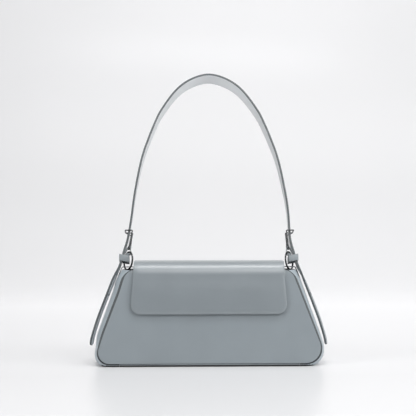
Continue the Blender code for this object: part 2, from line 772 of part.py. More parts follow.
def build_flap():
    """Flap leather, its board and lining, and the magnet between them."""
    hinge = flap_hinge()
    board_depth = FLAP_THICKNESS + GAP
    lining_depth = board_depth + BOARD_THICKNESS + GAP
    make_object("flap_outer", *flap_sheet(0, FLAP_THICKNESS, 0), (LEATHER, 0.45, 0.0), hinge)
    board = make_object("flap_board", *flap_sheet(board_depth, BOARD_THICKNESS, FLAP_BOARD_INSET),
                        (BOARD_CARD, 0.9, 0.0), hinge)
    make_object("flap_lining", *flap_sheet(lining_depth, LINING_THICKNESS, FLAP_LINING_INSET),
                (LINING_CLOTH, 0.8, 0.0), hinge)
    stack = FLAP_STANDOFF + LINING_THICKNESS + GAP + BOARD_THICKNESS / 2
    centre = Vector((0, magnet_centre_y(-stack, MAGNET_HEIGHT), MAGNET_HEIGHT))
    cutter = make_cutter("flap_board_hole", *cylinder(centre, front_normal(), MAGNET_RADIUS + GAP,
                                                      BOARD_THICKNESS + 2 * CUT_OVERRUN))
    cut(board, cutter)
    make_object("flap_magnet", *cylinder(centre, front_normal(), MAGNET_RADIUS, BOARD_THICKNESS - GAP),
                (STEEL, 0.35, 1.0), hinge)


def leaned(x, across, up):
    """World point from the strap's own frame, which leans back about the ring axis."""
    y = across * math.cos(STRAP_LEAN) + up * math.sin(STRAP_LEAN)
    z = up * math.cos(STRAP_LEAN) - across * math.sin(STRAP_LEAN)
    return Vector((x, y, RING_CENTRE_Z + z))


def build_rings():
    """Round wire rings, each turned a little about the upright."""
    path = []
    for k in range(RING_STEPS):
        turn = 2 * math.pi * k / RING_STEPS
        side = RING_RADIUS * math.sin(turn)
        path.append(leaned(RING_CENTRE_X + side * math.sin(RING_YAW), side * math.cos(RING_YAW),
                           RING_RADIUS * math.cos(turn)))
    points, faces = wire(path, RING_WIRE_RADIUS, True)
    metal = (GUNMETAL, 0.3, 1.0)
    centre = Vector((RING_CENTRE_X, 0, RING_CENTRE_Z))
    make_object("ring_right", points, faces, metal, centre)
    make_object("ring_left", mirrored(points), faces, metal, Vector((-centre.x, 0, centre.z)))


def strap_drop(s):
    """Depth, height and lean of the strap's centre at a distance above the ring axis."""
    if s >= -TAIL_STRAIGHT:
        return s * math.sin(STRAP_LEAN), s * math.cos(STRAP_LEAN), STRAP_LEAN
    below = -s - TAIL_STRAIGHT
    y0 = -TAIL_STRAIGHT * math.sin(STRAP_LEAN)
    z0 = -TAIL_STRAIGHT * math.cos(STRAP_LEAN)
    run = min(below, TAIL_DROOP)
    lean = STRAP_LEAN * (1 - run / TAIL_DROOP)
    bend = TAIL_DROOP / STRAP_LEAN
    y = y0 - bend * (math.cos(lean) - math.cos(STRAP_LEAN))
    z = z0 - bend * (math.sin(STRAP_LEAN) - math.sin(lean)) - (below - run)
    return y, z, lean


def strap_knots():
    """Half of the strap's centre line as (half span, distance above the ring axis).

    The first knot mirrors the third, which keeps the crown level.
    """
    span = RING_CENTRE_X
    knots = [(-span * ARCH_SHARES[1][0], ARCH_HEIGHT * ARCH_SHARES[1][1])]
    knots += [(span * x, ARCH_HEIGHT * s) for x, s in ARCH_SHARES]
    knots.append((RING_CENTRE_X + STRAP_BUCKLE_OUT, STRAP_BUCKLE_UP))
    knots.append((strap_clear_x(), RING_RADIUS))
    top = RING_CENTRE_X + TAIL_TOP_OUT
    spread = gusset_middle(0) - TAIL_TIP_OUT - top
    for x, s in TAIL_SHARES:
        knots.append((top + spread * x, -TAIL_LENGTH * s))
    return knots


def strap_clear_x():
    """Where the strap's centre passes the chape's loop round the ring."""
    return RING_CENTRE_X + chape_room() + CHAPE_THICKNESS + GAP + STRAP_THICKNESS / 2


def strap_half_width(s):
    """Half of the strap's width at a distance above the ring axis."""
    share = min(1.0, max(0.0, (s - TAPER_START) / (ARCH_HEIGHT - TAPER_START)))
    swell = 1 - (1 - share) ** STRAP_TAPER_POWER_SHARE
    half = (STRAP_END_WIDTH + (STRAP_WIDTH - STRAP_END_WIDTH) * swell) / 2
    tip = s + TAIL_LENGTH
    round_tip = STRAP_END_WIDTH / 2
    if tip < round_tip:
        half *= math.sqrt(max(0.02, 1 - (1 - tip / round_tip) ** 2))
    return half


def strap_sway(s):
    """How far the arch hangs over to the right at a distance above the ring axis."""
    share = min(1.0, max(0.0, (s - SWAY_START) / (SWAY_END - SWAY_START)))
    return STRAP_SWAY * share * share * (3 - 2 * share)


def strap_half():
    """Stations of the right half of the strap from the crown to the tip of the tail."""
    line = spline(strap_knots(), SPLINE_STEPS)[SPLINE_STEPS:]
    tip = line[-1]
    before = line[-2]
    line[-1:] = [before.lerp(tip, share) for share in (0.35, 0.6, 0.8, 0.93, 1.0)]
    return line


def strap_station(x, s):
    """World point, width direction and half width of the strap at one station."""
    y, z, lean = strap_drop(s)
    side = Vector((0, math.cos(lean), -math.sin(lean)))
    return Vector((x + strap_sway(s), y, RING_CENTRE_Z + z)), side, strap_half_width(s)


def strap_x_at(s, side=0):
    """Distance of the strap from the middle plane at a distance above the ring axis.

    The side is 1 for the right leg, -1 for the left and 0 for their mean.
    """
    line = strap_half()
    for high, low in zip(line, line[1:]):
        if high.y >= s >= low.y and high.y > low.y:
            mean = high.x + (low.x - high.x) * (high.y - s) / (high.y - low.y)
            return mean + side * strap_sway(s)
    return line[-1].x


def build_strap():
    """The one-piece strap with its punched holes."""
    half = strap_half()
    stations = [strap_station(-spot.x, spot.y) for spot in reversed(half[1:])]
    stations += [strap_station(spot.x, spot.y) for spot in half]
    path = [station[0] for station in stations]
    wide = [station[1] for station in stations]
    halves = [station[2] for station in stations]
    axis_point = Vector((0, 0, RING_CENTRE_Z))
    strap = make_object("shoulder_strap",
                        *ribbon(path, wide, halves, STRAP_THICKNESS, False, STRAP_EDGE),
                        (LEATHER, 0.45, 0.0), axis_point)
    points = []
    faces = []
    for sign in (1, -1):
        for k in range(HOLE_COUNT):
            s = HOLE_UP - k * HOLE_PITCH
            centre, _, _ = strap_station(sign * strap_x_at(s), s)
            ahead, _, _ = strap_station(sign * strap_x_at(s + GAP), s + GAP)
            along = (ahead - centre).normalized()
            axis = Vector((along.z, 0, -along.x))
            hole = cylinder(centre, axis, HOLE_RADIUS, STRAP_THICKNESS + 2 * CUT_OVERRUN, 12)
            start = len(points)
            points += hole[0]
            faces += [tuple(start + index for index in face) for face in hole[1]]
    cut(strap, make_cutter("strap_holes", points, faces, axis_point))


def frame_half_width():
    """Half of the buckle frame's width, at the middle of its wire."""
    return STRAP_END_WIDTH / 2 + FRAME_SIDE_ROOM + WIRE_RADIUS


def hinge_bar_point():
    """World point at the middle of the right buckle's hinge bar."""
    return leaned(HINGE_BAR_X, 0, HINGE_BAR_UP)


def frame_path(side):
    """Closed centre line of a buckle frame, drawn as if on the right."""
    wide = frame_half_width()
    near = strap_x_at(FRAME_TOP, side) - FRAME_IN
    far = strap_x_at(FRAME_TOP, side) + FRAME_OUT
    corners = []
    for edge in (-1, 1):
        line = [(HINGE_BAR_X, HINGE_BAR_UP), (near, FRAME_TOP), (far, FRAME_TOP)]
        if edge > 0:
            line.reverse()
        corners += [Vector((x, edge * wide, up)) for x, up in line]
    loop = rounded_path(corners, [FRAME_CORNER] * len(corners), 4, closed=True)
    return [leaned(p.x, p.y, p.z) for p in loop]


def prong_path(side):
    """Centre line of a prong, drawn as if on the right: curl, stem and tip."""
    curl = WIRE_RADIUS + PRONG_RADIUS + PRONG_ROOM
    near = strap_x_at(FRAME_TOP, side) - FRAME_IN
    far = strap_x_at(FRAME_TOP, side) + FRAME_OUT
    path = []
    steps = 10
    for k in range(steps + 1):
        turn = math.radians(-60 + 240 * k / steps)
        path.append(Vector((HINGE_BAR_X + curl * math.cos(turn), 0,
                            HINGE_BAR_UP - curl * math.sin(turn))))
    tip_up = FRAME_TOP - WIRE_RADIUS - PRONG_RADIUS - PRONG_ROOM
    hole_x = strap_x_at(HOLE_UP, side)
    rise = (tip_up - HOLE_UP) / (far - hole_x)
    bend_x = near + (HINGE_BAR_X - near) * (FRAME_TOP - HOLE_UP) / (FRAME_TOP - HINGE_BAR_UP)
    bend_up = HOLE_UP - rise * (hole_x - bend_x)
    stem = Vector((HINGE_BAR_X - curl, 0, HINGE_BAR_UP))
    tip = Vector((far, 0, tip_up))
    path += fillet(stem, Vector((bend_x, 0, bend_up)), tip, FRAME_CORNER, 4)
    path.append(tip)
    return [leaned(p.x, p.y, p.z) for p in path]


def build_buckles():
    """Wire frames that turn on their hinge bars, and the prongs that go with them."""
    metal = (GUNMETAL, 0.3, 1.0)
    for name, side in (("right", 1), ("left", -1)):
        bar = hinge_bar_point()
        frame_points, frame_faces = wire(frame_path(side), WIRE_RADIUS, True)
        prong_points, prong_faces = wire(prong_path(side), PRONG_RADIUS, False)
        if side < 0:
            bar.x = -bar.x
            frame_points = mirrored(frame_points)
            prong_points = mirrored(prong_points)
        make_object("buckle_frame_" + name, frame_points, frame_faces, metal, bar)
        make_object("buckle_prong_" + name, prong_points, prong_faces, metal, bar)


def chape_room():
    """Half of the chape's inner gap that the turned ring wire needs."""
    slant = CHAPE_WIDTH / 2 * math.tan(RING_YAW)
    return slant + RING_WIRE_RADIUS / math.cos(RING_YAW) + CHAPE_RING_ROOM


def chape_outlines():
    """Outer outline and hole of the right chape, as (x, distance above the ring axis)."""
    room = chape_room()
    bar_room = WIRE_RADIUS + GAP
    bar_top = HINGE_BAR_UP + bar_room
    chord = CHAPE_WIDTH / 2 / math.cos(RING_YAW)
    low = math.sqrt(RING_RADIUS * RING_RADIUS - chord * chord) - RING_WIRE_RADIUS - GAP
    high = RING_RADIUS + RING_WIRE_RADIUS
    centre = RING_CENTRE_X
    hole = [
        Vector((centre, low)),
        Vector((centre + room * 0.95, low + CHAPE_RING_ROOM)),
        Vector((centre + room, RING_RADIUS)),
        Vector((centre + room * 0.8, high + GAP)),
        Vector((HINGE_BAR_X + bar_room, HINGE_BAR_UP)),
        Vector((HINGE_BAR_X + bar_room * 0.7, HINGE_BAR_UP + bar_room * 0.7)),
        Vector((HINGE_BAR_X, bar_top)),
        Vector((HINGE_BAR_X - bar_room * 0.7, HINGE_BAR_UP + bar_room * 0.7)),
        Vector((HINGE_BAR_X - bar_room, HINGE_BAR_UP)),
        Vector((centre - room * 0.8, high + GAP)),
        Vector((centre - room, RING_RADIUS)),
        Vector((centre - room * 0.95, low + CHAPE_RING_ROOM)),
    ]
    outer = []
    count = len(hole)
    for i, spot in enumerate(hole):
        before = hole[i - 1]
        after = hole[(i + 1) % count]
        along = (after - before).normalized()
        outer.append(spot + Vector((along.y, -along.x)) * CHAPE_THICKNESS)
    return outer, hole


def build_chapes():
    """Leather loops that hold the hinge bar and the ring, sewn together below the ring."""
    outer, hole = chape_outlines()
    deep = CHAPE_THICKNESS
    tail_x = RING_CENTRE_X + CHAPE_TAIL_OUT
    tail = [
        Vector((tail_x + deep, CHAPE_SEAM_UP)),
        Vector((tail_x + deep, -CHAPE_END_DOWN)),
        Vector((tail_x - deep, -CHAPE_END_DOWN)),
        Vector((tail_x - deep, CHAPE_SEAM_UP)),
    ]
    half = CHAPE_WIDTH / 2
    count = len(hole)
    flat = outer[1:] + hole + tail
    points = [leaned(p.x, side * half, p.y) for side in (-1, 1) for p in flat]
    span = len(flat)
    rim = count - 1
    loops = []
    for i in range(rim - 1):
        loops.append((i, i + 1, rim + i + 2, rim + i + 1))
    tail_right = rim + count
    loops.append((rim, rim + 1, 0, tail_right))
    loops.append((rim, tail_right, tail_right + 3))
    loops.append((rim + count - 1, rim, tail_right + 3, rim - 1))
    loops.append((tail_right, tail_right + 1, tail_right + 2, tail_right + 3))
    faces = []
    for loop in loops:
        faces.append(loop)
        faces.append(tuple(span + index for index in reversed(loop)))
    edge = list(range(rim)) + [tail_right + 3, tail_right + 2, tail_right + 1, tail_right]
    inside = list(range(rim, rim + count))
    for line in (edge, inside):
        for here, after in zip(line, line[1:] + line[:1]):
            faces.append((here, after, span + after, span + here))
    leather = (LEATHER, 0.45, 0.0)
    origin = Vector((0, 0, RING_CENTRE_Z))
    slot_half = PRONG_RADIUS + GAP
    curl = WIRE_RADIUS + 2 * PRONG_RADIUS + PRONG_ROOM + GAP
    low = HINGE_BAR_UP - curl
    high = HINGE_BAR_UP + curl + CHAPE_THICKNESS
    box = [(x, y, up) for up in (low, high) for x, y in (
        (HINGE_BAR_X - curl, -slot_half), (HINGE_BAR_X + curl, -slot_half),
        (HINGE_BAR_X + curl, slot_half), (HINGE_BAR_X - curl, slot_half))]
    slot = [leaned(*corner) for corner in box]
    slot_faces = [(0, 3, 2, 1), (4, 5, 6, 7), (0, 1, 5, 4), (1, 2, 6, 5), (2, 3, 7, 6), (3, 0, 4, 7)]
    for name, side in (("right", 1), ("left", -1)):
        own = points if side > 0 else mirrored(points)
        own_slot = slot if side > 0 else mirrored(slot)
        chape = make_object("chape_" + name, own, faces, leather, origin)
        cut(chape, make_cutter("chape_slot_" + name, own_slot, slot_faces, origin))


def keeper_low(half, span):
    """Height of the keeper's lower edge at its middle, clear of the tab below it."""
    limit = tab_drop() - TAB_THICKNESS - GAP
    corner = math.sqrt(limit * limit - half * half)
    return span / 2 * math.sin(KEEPER_TILT) - corner


def build_keepers():
    """Leather bands round the strap and the chape, square to the strap's slope."""
    inner_x = RING_CENTRE_X + CHAPE_TAIL_OUT - CHAPE_THICKNESS - GAP
    outer_x = strap_x_at(0) + STRAP_THICKNESS / 2 + 2 * GAP
    half = STRAP_END_WIDTH / 2 + KEEPER_SIDE_ROOM
    deep = KEEPER_THICKNESS
    low = keeper_low(half + deep, outer_x - inner_x + 2 * deep)
    high = low + KEEPER_HEIGHT
    middle = (inner_x + outer_x) / 2
    slope = math.tan(KEEPER_TILT)
    rings = []
    for grow, up in ((0, low), (deep, low), (deep, high), (0, high)):
        corners = [
            Vector((inner_x - grow, -half - grow)), Vector((outer_x + grow, -half - grow)),
            Vector((outer_x + grow, half + grow)), Vector((inner_x - grow, half + grow)),
        ]
        soft = deep / 2 + grow
        loop = rounded_path(corners, [soft] * len(corners), 3, closed=True)
        rings.append([leaned(p.x, p.y, up + (p.x - middle) * slope) for p in loop])
    points, faces = skin(rings, True)
    leather = (LEATHER, 0.45, 0.0)
    origin = Vector((0, 0, RING_CENTRE_Z))
    make_object("keeper_right", points, faces, leather, origin)
    make_object("keeper_left", mirrored(points), faces, leather, origin)


clear_scene()
build_panels()
build_gussets()
build_base()
build_lining()
build_flap()
build_rings()
build_strap()
build_buckles()
build_chapes()
build_keepers()
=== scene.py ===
import math

import bpy
import bmesh
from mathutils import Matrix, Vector, noise


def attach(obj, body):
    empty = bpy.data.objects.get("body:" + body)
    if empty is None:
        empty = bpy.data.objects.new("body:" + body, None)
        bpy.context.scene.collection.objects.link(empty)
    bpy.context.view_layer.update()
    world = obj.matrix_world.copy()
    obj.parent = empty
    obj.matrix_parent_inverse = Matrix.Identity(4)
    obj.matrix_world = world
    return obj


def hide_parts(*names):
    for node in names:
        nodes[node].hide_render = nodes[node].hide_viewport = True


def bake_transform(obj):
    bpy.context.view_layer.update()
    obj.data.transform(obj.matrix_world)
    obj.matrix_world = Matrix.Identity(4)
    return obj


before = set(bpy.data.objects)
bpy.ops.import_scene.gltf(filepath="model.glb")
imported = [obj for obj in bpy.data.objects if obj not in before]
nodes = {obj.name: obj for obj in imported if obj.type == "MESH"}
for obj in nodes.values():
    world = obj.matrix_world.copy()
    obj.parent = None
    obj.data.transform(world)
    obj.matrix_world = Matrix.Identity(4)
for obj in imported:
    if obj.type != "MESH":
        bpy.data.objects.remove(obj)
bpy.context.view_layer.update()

MM = 0.001

# Camera: level, a little to the left of straight ahead
CAMERA_DISTANCE = 1.300
CAMERA_HEIGHT = 0.1828
CAMERA_AZIMUTH = math.radians(-2.0)
CAMERA_AIM_X = -1.06 * MM
PICTURE_WIDTH = 0.491

# Backdrop, in metres
SWEEP_FRONT = -1.6
SWEEP_FLAT = 0.9
SWEEP_RADIUS = 0.7
SWEEP_HEIGHT = 3.0
SWEEP_HALF_WIDTH = 2.6

# The bag's sizes: those of the CAD model, and those of the leather's own soft forms
GAP = 0.3 * MM
PANEL_THICKNESS = 1.6 * MM
FLAP_THICKNESS = 1.4 * MM
GUSSET_THICKNESS = 1.4 * MM
BOARD_THICKNESS = 1.0 * MM
LINING_THICKNESS = 0.6 * MM
TAB_THICKNESS = 0.9 * MM
CHAPE_THICKNESS = 0.9 * MM
KEEPER_THICKNESS = 0.85 * MM
STRAP_THICKNESS = 2.4 * MM
BASE_HALF_DEPTH = 33.0 * MM
TOP_HALF_DEPTH = 20.5 * MM
PANEL_TOP = 111.0 * MM
PANEL_BOTTOM = 3.8 * MM
PANEL_HALF_BOTTOM = 136.5 * MM
PANEL_HALF_TOP = 95.5 * MM
PANEL_BOTTOM_RADIUS = 17.5 * MM
PANEL_TOP_RADIUS = 14.0 * MM
PANEL_CROWN = 1.4 * MM
PANEL_REVEAL = 0.5 * MM
GUSSET_SWELL_BOTTOM = 6.1 * MM
GUSSET_SWELL_TOP = 7.0 * MM
GUSSET_RADIUS = 18.5 * MM
GUSSET_TOP = 110.4 * MM
GUSSET_SHOULDER = 92.0 * MM
GUSSET_SHOULDER_BEND = 0.7 * MM
GUSSET_NOTCH = 103.0 * MM
GUSSET_NOTCH_SLANT = 1.2 * MM
GUSSET_END_HALF = PANEL_HALF_BOTTOM - 32.5 * MM
BELLY_RIGHT = 1.6 * MM
BELLY_LEFT = 2.4 * MM
BELLY_LOW = 13.0 * MM
BELLY_RISE = 24.0 * MM
BELLY_HIGH = 110.0 * MM
BELLY_FALL = 17.0 * MM
HANG_DEPTH = 0.22 * MM
PANEL_FADE = 14 * MM
FLAP_SHIFT = -0.9 * MM
FLAP_SHIFT_START_SHARE = 0.55
FOLD_SOFT = 0.7 * MM
FOLD_RADIUS = 18.0 * MM
FOLD_RUN_OUT = 18 * MM
FOLD_RUN_IN = 15 * MM
TOP_BEND = 1.9 * MM
TOP_BEND_START = 100.0 * MM
TOP_BEND_HALF = 94 * MM
TOP_BEND_SIDE = 6 * MM
EDGE_PINCH = 0.7 * MM
EDGE_PINCH_WIDTH = 4.5 * MM
FLAP_BOARD_INSET = 5.0 * MM
LEFT_DRAW_LOW = 2.2 * MM
LEFT_DRAW = 1.1 * MM
LEFT_DRAW_CORNER = 0.8 * MM
LEFT_DRAW_LOW_TOP = 42 * MM
LEFT_DRAW_LOW_SPAN = 26 * MM
LEFT_DRAW_TOP = 100 * MM
LEFT_DRAW_TOP_SPAN = 15 * MM
LEFT_CORNER_TOP = 30 * MM
LEFT_CORNER_SPAN = 10 * MM
LEFT_RADIUS_SHARE = 0.74
TAIL_TWIST = math.radians(16.0)
TWIST_START = 7.0 * MM
TWIST_END = 26.0 * MM
FLAP_RING_ROOM = 7.3 * MM
FLAP_FLARE = 3.3 * MM
FLAP_BOTTOM = 60.4 * MM
FLAP_CREST = 120.7 * MM
FLAP_REAR_RADIUS = 7.8 * MM
FLAP_CORNER_RADIUS = 12.4 * MM
FLAP_STANDOFF = 0.4 * MM
RING_RADIUS = 10.4 * MM
RING_WIRE_RADIUS = 1.05 * MM
RING_CENTRE_X = PANEL_HALF_TOP - 0.5 * MM
RING_CENTRE_Z = 120.5 * MM
RING_YAW = math.radians(30.0)
STRAP_LEAN = math.radians(18.0)
TAB_WIDTH = 5.5 * MM
TAB_SIDE_ROOM = 0.35 * MM
TAB_ROOM_ABOVE = 0.15 * MM
TAB_ROOM_BELOW = 0.9 * MM
TAB_LEG = 10.0 * MM
TAB_ROUNDING = 1.6 * MM
STRAP_WIDTH = 26.0 * MM
STRAP_END_WIDTH = 9.0 * MM
STRAP_TAPER_POWER = 2.2
STRAP_SWAY = 2.3 * MM
SWAY_START = 10.0 * MM
SWAY_END = 65.0 * MM
ARCH_HEIGHT = 235.0 * MM
TAPER_START = 42.0 * MM
TAIL_LENGTH = 99.0 * MM
TAIL_TOP_OUT = 8.5 * MM
TAIL_TIP_OUT = 4.9 * MM
TAIL_STRAIGHT = 6.0 * MM
TAIL_DROOP = 42.0 * MM
ARCH_SHARES = (
    (0.0, 1.0), (0.231, 0.973), (0.426, 0.911), (0.616, 0.80), (0.710, 0.717), (0.789, 0.631),
    (0.852, 0.552), (0.898, 0.470), (0.934, 0.388), (0.964, 0.309), (0.984, 0.231), (0.997, 0.174),
)
TAIL_SHARES = (
    (0.0, 0.02), (0.068, 0.09), (0.20, 0.19), (0.405, 0.37), (0.605, 0.545), (0.80, 0.73),
    (0.956, 0.91), (1.0, 1.0),
)
WIRE_RADIUS = 0.8 * MM
PRONG_RADIUS = 0.65 * MM
PRONG_ROOM = 0.2 * MM
FRAME_SIDE_ROOM = 0.6 * MM
FRAME_CORNER = 1.2 * MM
FRAME_TOP = 36.0 * MM
FRAME_OUT = 4.6 * MM
FRAME_IN = 3.9 * MM
HINGE_BAR_X = RING_CENTRE_X - 0.9 * MM
HINGE_BAR_UP = 15.5 * MM
STRAP_BUCKLE_OUT = 1.6 * MM
STRAP_BUCKLE_UP = 24.5 * MM
HOLE_RADIUS = 1.6 * MM
HOLE_UP = 32.4 * MM
HOLE_PITCH = 24.0 * MM
HOLE_COUNT = 4
CHAPE_WIDTH = 5.0 * MM
CHAPE_RING_ROOM = 0.2 * MM
CHAPE_TAIL_OUT = 0.5 * MM
KEEPER_HEIGHT = 8.0 * MM
KEEPER_SIDE_ROOM = 0.25 * MM
KEEPER_TILT = math.radians(10.0)
FLAP_HALF_TOP = RING_CENTRE_X - FLAP_RING_ROOM
PANEL_EDGE_ROUND = 0.55 * MM
FLAP_EDGE_ROUND = 0.5 * MM
BASE_EDGE_ROUND = 0.25 * MM
GUSSET_EDGE_ROUND = 0.35 * MM
TAB_EDGE_ROUND = 0.25 * MM
STRAP_EDGE_ROUND = 0.7 * MM
CHAPE_EDGE_ROUND = 0.22 * MM
KEEPER_EDGE_ROUND = 0.28 * MM
CLOTH_EDGE_ROUND = 0.2 * MM


# Lines and shapes


def clamp(value):
    return min(1.0, max(0.0, value))


def ease(share):
    """A soft step from 0 to 1."""
    return share * share * (3 - 2 * share)


def spread_shares(columns, crowding):
    """Shares from -1 to 1 that crowd towards both ends."""
    even = [2 * j / (columns - 1) - 1 for j in range(columns)]
    return [(1 - crowding) * s + crowding * math.sin(math.pi / 2 * s) for s in even]


def fillet(before, corner, after, radius, steps):
    back = (before - corner).normalized()
    ahead = (after - corner).normalized()
    half_angle = back.angle(ahead) / 2
    reach = radius / math.tan(half_angle)
    start = corner + back * reach
    centre = corner + (back + ahead).normalized() * (radius / math.sin(half_angle))
    first = start - centre
    last = corner + ahead * reach - centre
    sweep = first.angle(last)
    side = (last - first * math.cos(sweep)) / math.sin(sweep)
    return [centre + first * math.cos(sweep * k / steps) + side * math.sin(sweep * k / steps)
            for k in range(steps + 1)]


def rounded_path(corners, radii, steps, closed=False):
    result = []
    count = len(corners)
    for i, (corner, radius) in enumerate(zip(corners, radii)):
        if radius and (closed or 0 < i < count - 1):
            result += fillet(corners[i - 1], corner, corners[(i + 1) % count], radius, steps)
        else:
            result.append(corner)
    return result


def spline(knots, steps):
    result = []
    points = [Vector(knot) for knot in knots]
    points = [points[0] * 2 - points[1]] + points + [points[-1] * 2 - points[-2]]
    for i in range(1, len(points) - 2):
        p0, p1, p2, p3 = points[i - 1:i + 3]
        for k in range(steps):
            t = k / steps
            result.append(0.5 * (2 * p1 + (p2 - p0) * t + (2 * p0 - 5 * p1 + 4 * p2 - p3) * t * t
                                 + (3 * p1 - p0 - 3 * p2 + p3) * t * t * t))
    result.append(points[-2])
    return result


def side_line(half_bottom, bottom, half_top, top, low_radius, high_radius, arc=14, line=24):
    foot = Vector((0, bottom))
    low = Vector((half_bottom, bottom))
    high = Vector((half_top, top))
    head = Vector((0, top))
    result = fillet(foot, low, high, low_radius, arc)
    upper = fillet(low, high, head, high_radius, arc) if high_radius else [high]
    start = result[-1]
    for k in range(1, line):
        result.append(start.lerp(upper[0], k / line))
    return result + upper


def panel_outline(inset, arc=14, line=24, corner=1.0):
    lean = (PANEL_HALF_BOTTOM - PANEL_HALF_TOP) / (PANEL_TOP - PANEL_BOTTOM)
    shrink = inset * math.sqrt(1 + lean * lean)
    bottom = PANEL_BOTTOM + inset
    top = PANEL_TOP - inset
    low = PANEL_HALF_BOTTOM - shrink - lean * (bottom - PANEL_BOTTOM)
    high = PANEL_HALF_BOTTOM - shrink - lean * (top - PANEL_BOTTOM)
    return side_line(low, bottom, high, top, PANEL_BOTTOM_RADIUS * corner - inset,
                     PANEL_TOP_RADIUS - inset, arc, line)


def half_depth(z):
    return BASE_HALF_DEPTH + (TOP_HALF_DEPTH - BASE_HALF_DEPTH) * z / PANEL_TOP


def face_depth(x, z):
    across = max(0.0, 1 - (x / PANEL_HALF_BOTTOM) ** 2)
    upward = math.sin(math.pi * min(1.0, max(0.0, z / PANEL_TOP)))
    return half_depth(z) + PANEL_CROWN * across * upward


def tangents(path, closed):
    result = []
    count = len(path)
    for i in range(count):
        before = path[(i - 1) % count] if closed or i > 0 else path[i]
        after = path[(i + 1) % count] if closed or i < count - 1 else path[i]
        result.append((after - before).normalized())
    return result


def leaned(x, across, up):
    y = across * math.cos(STRAP_LEAN) + up * math.sin(STRAP_LEAN)
    z = up * math.cos(STRAP_LEAN) - across * math.sin(STRAP_LEAN)
    return Vector((x, y, RING_CENTRE_Z + z))


def mirrored(points):
    return [Vector((-p.x, p.y, p.z)) for p in points]


# Making pieces


def add_object(name, data):
    thing = bpy.data.objects.new(name, data)
    bpy.context.scene.collection.objects.link(thing)
    return thing


def add_mesh(name, points, faces, materials):
    """An object of closed faces that look outwards."""
    data = bpy.data.meshes.new(name)
    data.from_pydata([tuple(p) for p in points], [], [tuple(f) for f in faces])
    data.validate()
    for material in materials:
        data.materials.append(material)
    work = bmesh.new()
    work.from_mesh(data)
    bmesh.ops.recalc_face_normals(work, faces=work.faces)
    work.to_mesh(data)
    work.free()
    return add_object(name, data)


def smooth_all(data):
    data.polygons.foreach_set("use_smooth", [True] * len(data.polygons))


def piece(name, points, faces, materials, body=None, stands_for=(),
          picks=None):
    thing = add_mesh(name, points, faces, materials)
    if picks is not None:
        thing.data.polygons.foreach_set("material_index", picks)
    smooth_all(thing.data)
    if body:
        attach(thing, body)
    if stands_for:
        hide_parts(*stands_for)
    return thing


def bake(thing):
    """Puts an object's modifiers into its mesh."""
    depsgraph = bpy.context.evaluated_depsgraph_get()
    done = bpy.data.meshes.new_from_object(thing.evaluated_get(depsgraph))
    old = thing.data
    thing.modifiers.clear()
    thing.data = done
    bpy.data.meshes.remove(old)


def soften(thing, width, segments=3, angle=35.0):
    """Rounds the sharp edges of a piece."""
    bevel = thing.modifiers.new("soft_edges", "BEVEL")
    bevel.width = width
    bevel.segments = segments
    bevel.limit_method = "ANGLE"
    bevel.angle_limit = math.radians(angle)
    bevel.harden_normals = False
    bevel.use_clamp_overlap = True
    bake(thing)
    smooth_all(thing.data)


def slab(outer, inner):
    """Two grids of the same size closed into one sheet; also tells which faces are its rim."""
    rows = len(outer)
    columns = len(outer[0])
    points = [p for row in outer for p in row] + [p for row in inner for p in row]
    back = rows * columns
    faces = []
    kinds = []
    for i in range(rows - 1):
        for j in range(columns - 1):
            a = i * columns + j
            faces.append((a, a + 1, a + columns + 1, a + columns))
            kinds.append(0)
            faces.append((back + a, back + a + columns, back + a + columns + 1, back + a + 1))
            kinds.append(1)
    border = list(range(columns))
    border += [i * columns + columns - 1 for i in range(1, rows)]
    border += [(rows - 1) * columns + j for j in range(columns - 2, -1, -1)]
    border += [i * columns for i in range(rows - 2, 0, -1)]
    for here, after in zip(border, border[1:] + border[:1]):
        faces.append((after, here, back + here, back + after))
        kinds.append(2)
    return points, faces, kinds


def skin(rings, closed):
    count = len(rings[0])
    points = [p for ring in rings for p in ring]
    faces = []
    last = len(rings) if closed else len(rings) - 1
    for i in range(last):
        a = i * count
        b = ((i + 1) % len(rings)) * count
        for j in range(count):
            k = (j + 1) % count
            faces.append((a + j, a + k, b + k, b + j))
    if not closed:
        faces.append(tuple(range(count)))
        end = (len(rings) - 1) * count
        faces.append(tuple(range(end + count - 1, end - 1, -1)))
    return points, faces


def wire(path, radius, closed, sides=20, radii=None):
    along = tangents(path, closed)
    seed = Vector((0, 0, 1)) if abs(along[0].z) < 0.9 else Vector((1, 0, 0))
    normal = (seed - along[0] * seed.dot(along[0])).normalized()
    rings = []
    for n, (point, direction) in enumerate(zip(path, along)):
        normal = (normal - direction * normal.dot(direction)).normalized()
        other = direction.cross(normal)
        size = radii[n] if radii else radius
        rings.append([point + (normal * math.cos(2 * math.pi * k / sides)
                               + other * math.sin(2 * math.pi * k / sides)) * size
                      for k in range(sides)])
    return skin(rings, closed)


def band_section(half, deep, soft, turns=4):
    """Cross-section of a flat strip with rounded edges, as (across, out)."""
    result = []
    centres = ((half - soft, deep - soft, 0), (soft - half, deep - soft, 90),
               (soft - half, soft - deep, 180), (half - soft, soft - deep, 270))
    for u, v, start in centres:
        for k in range(turns + 1):
            turn = math.radians(start + 90 * k / turns)
            result.append((u + soft * math.cos(turn), v + soft * math.sin(turn)))
    return result


def grid_normals(rows):
    result = []
    last = len(rows) - 1
    for i, row in enumerate(rows):
        line = []
        for j in range(len(row)):
            up = rows[min(i + 1, last)][j] - rows[max(i - 1, 0)][j]
            over = row[min(j + 1, len(row) - 1)] - row[max(j - 1, 0)]
            line.append(over.cross(up).normalized())
        result.append(line)
    return result


# Materials


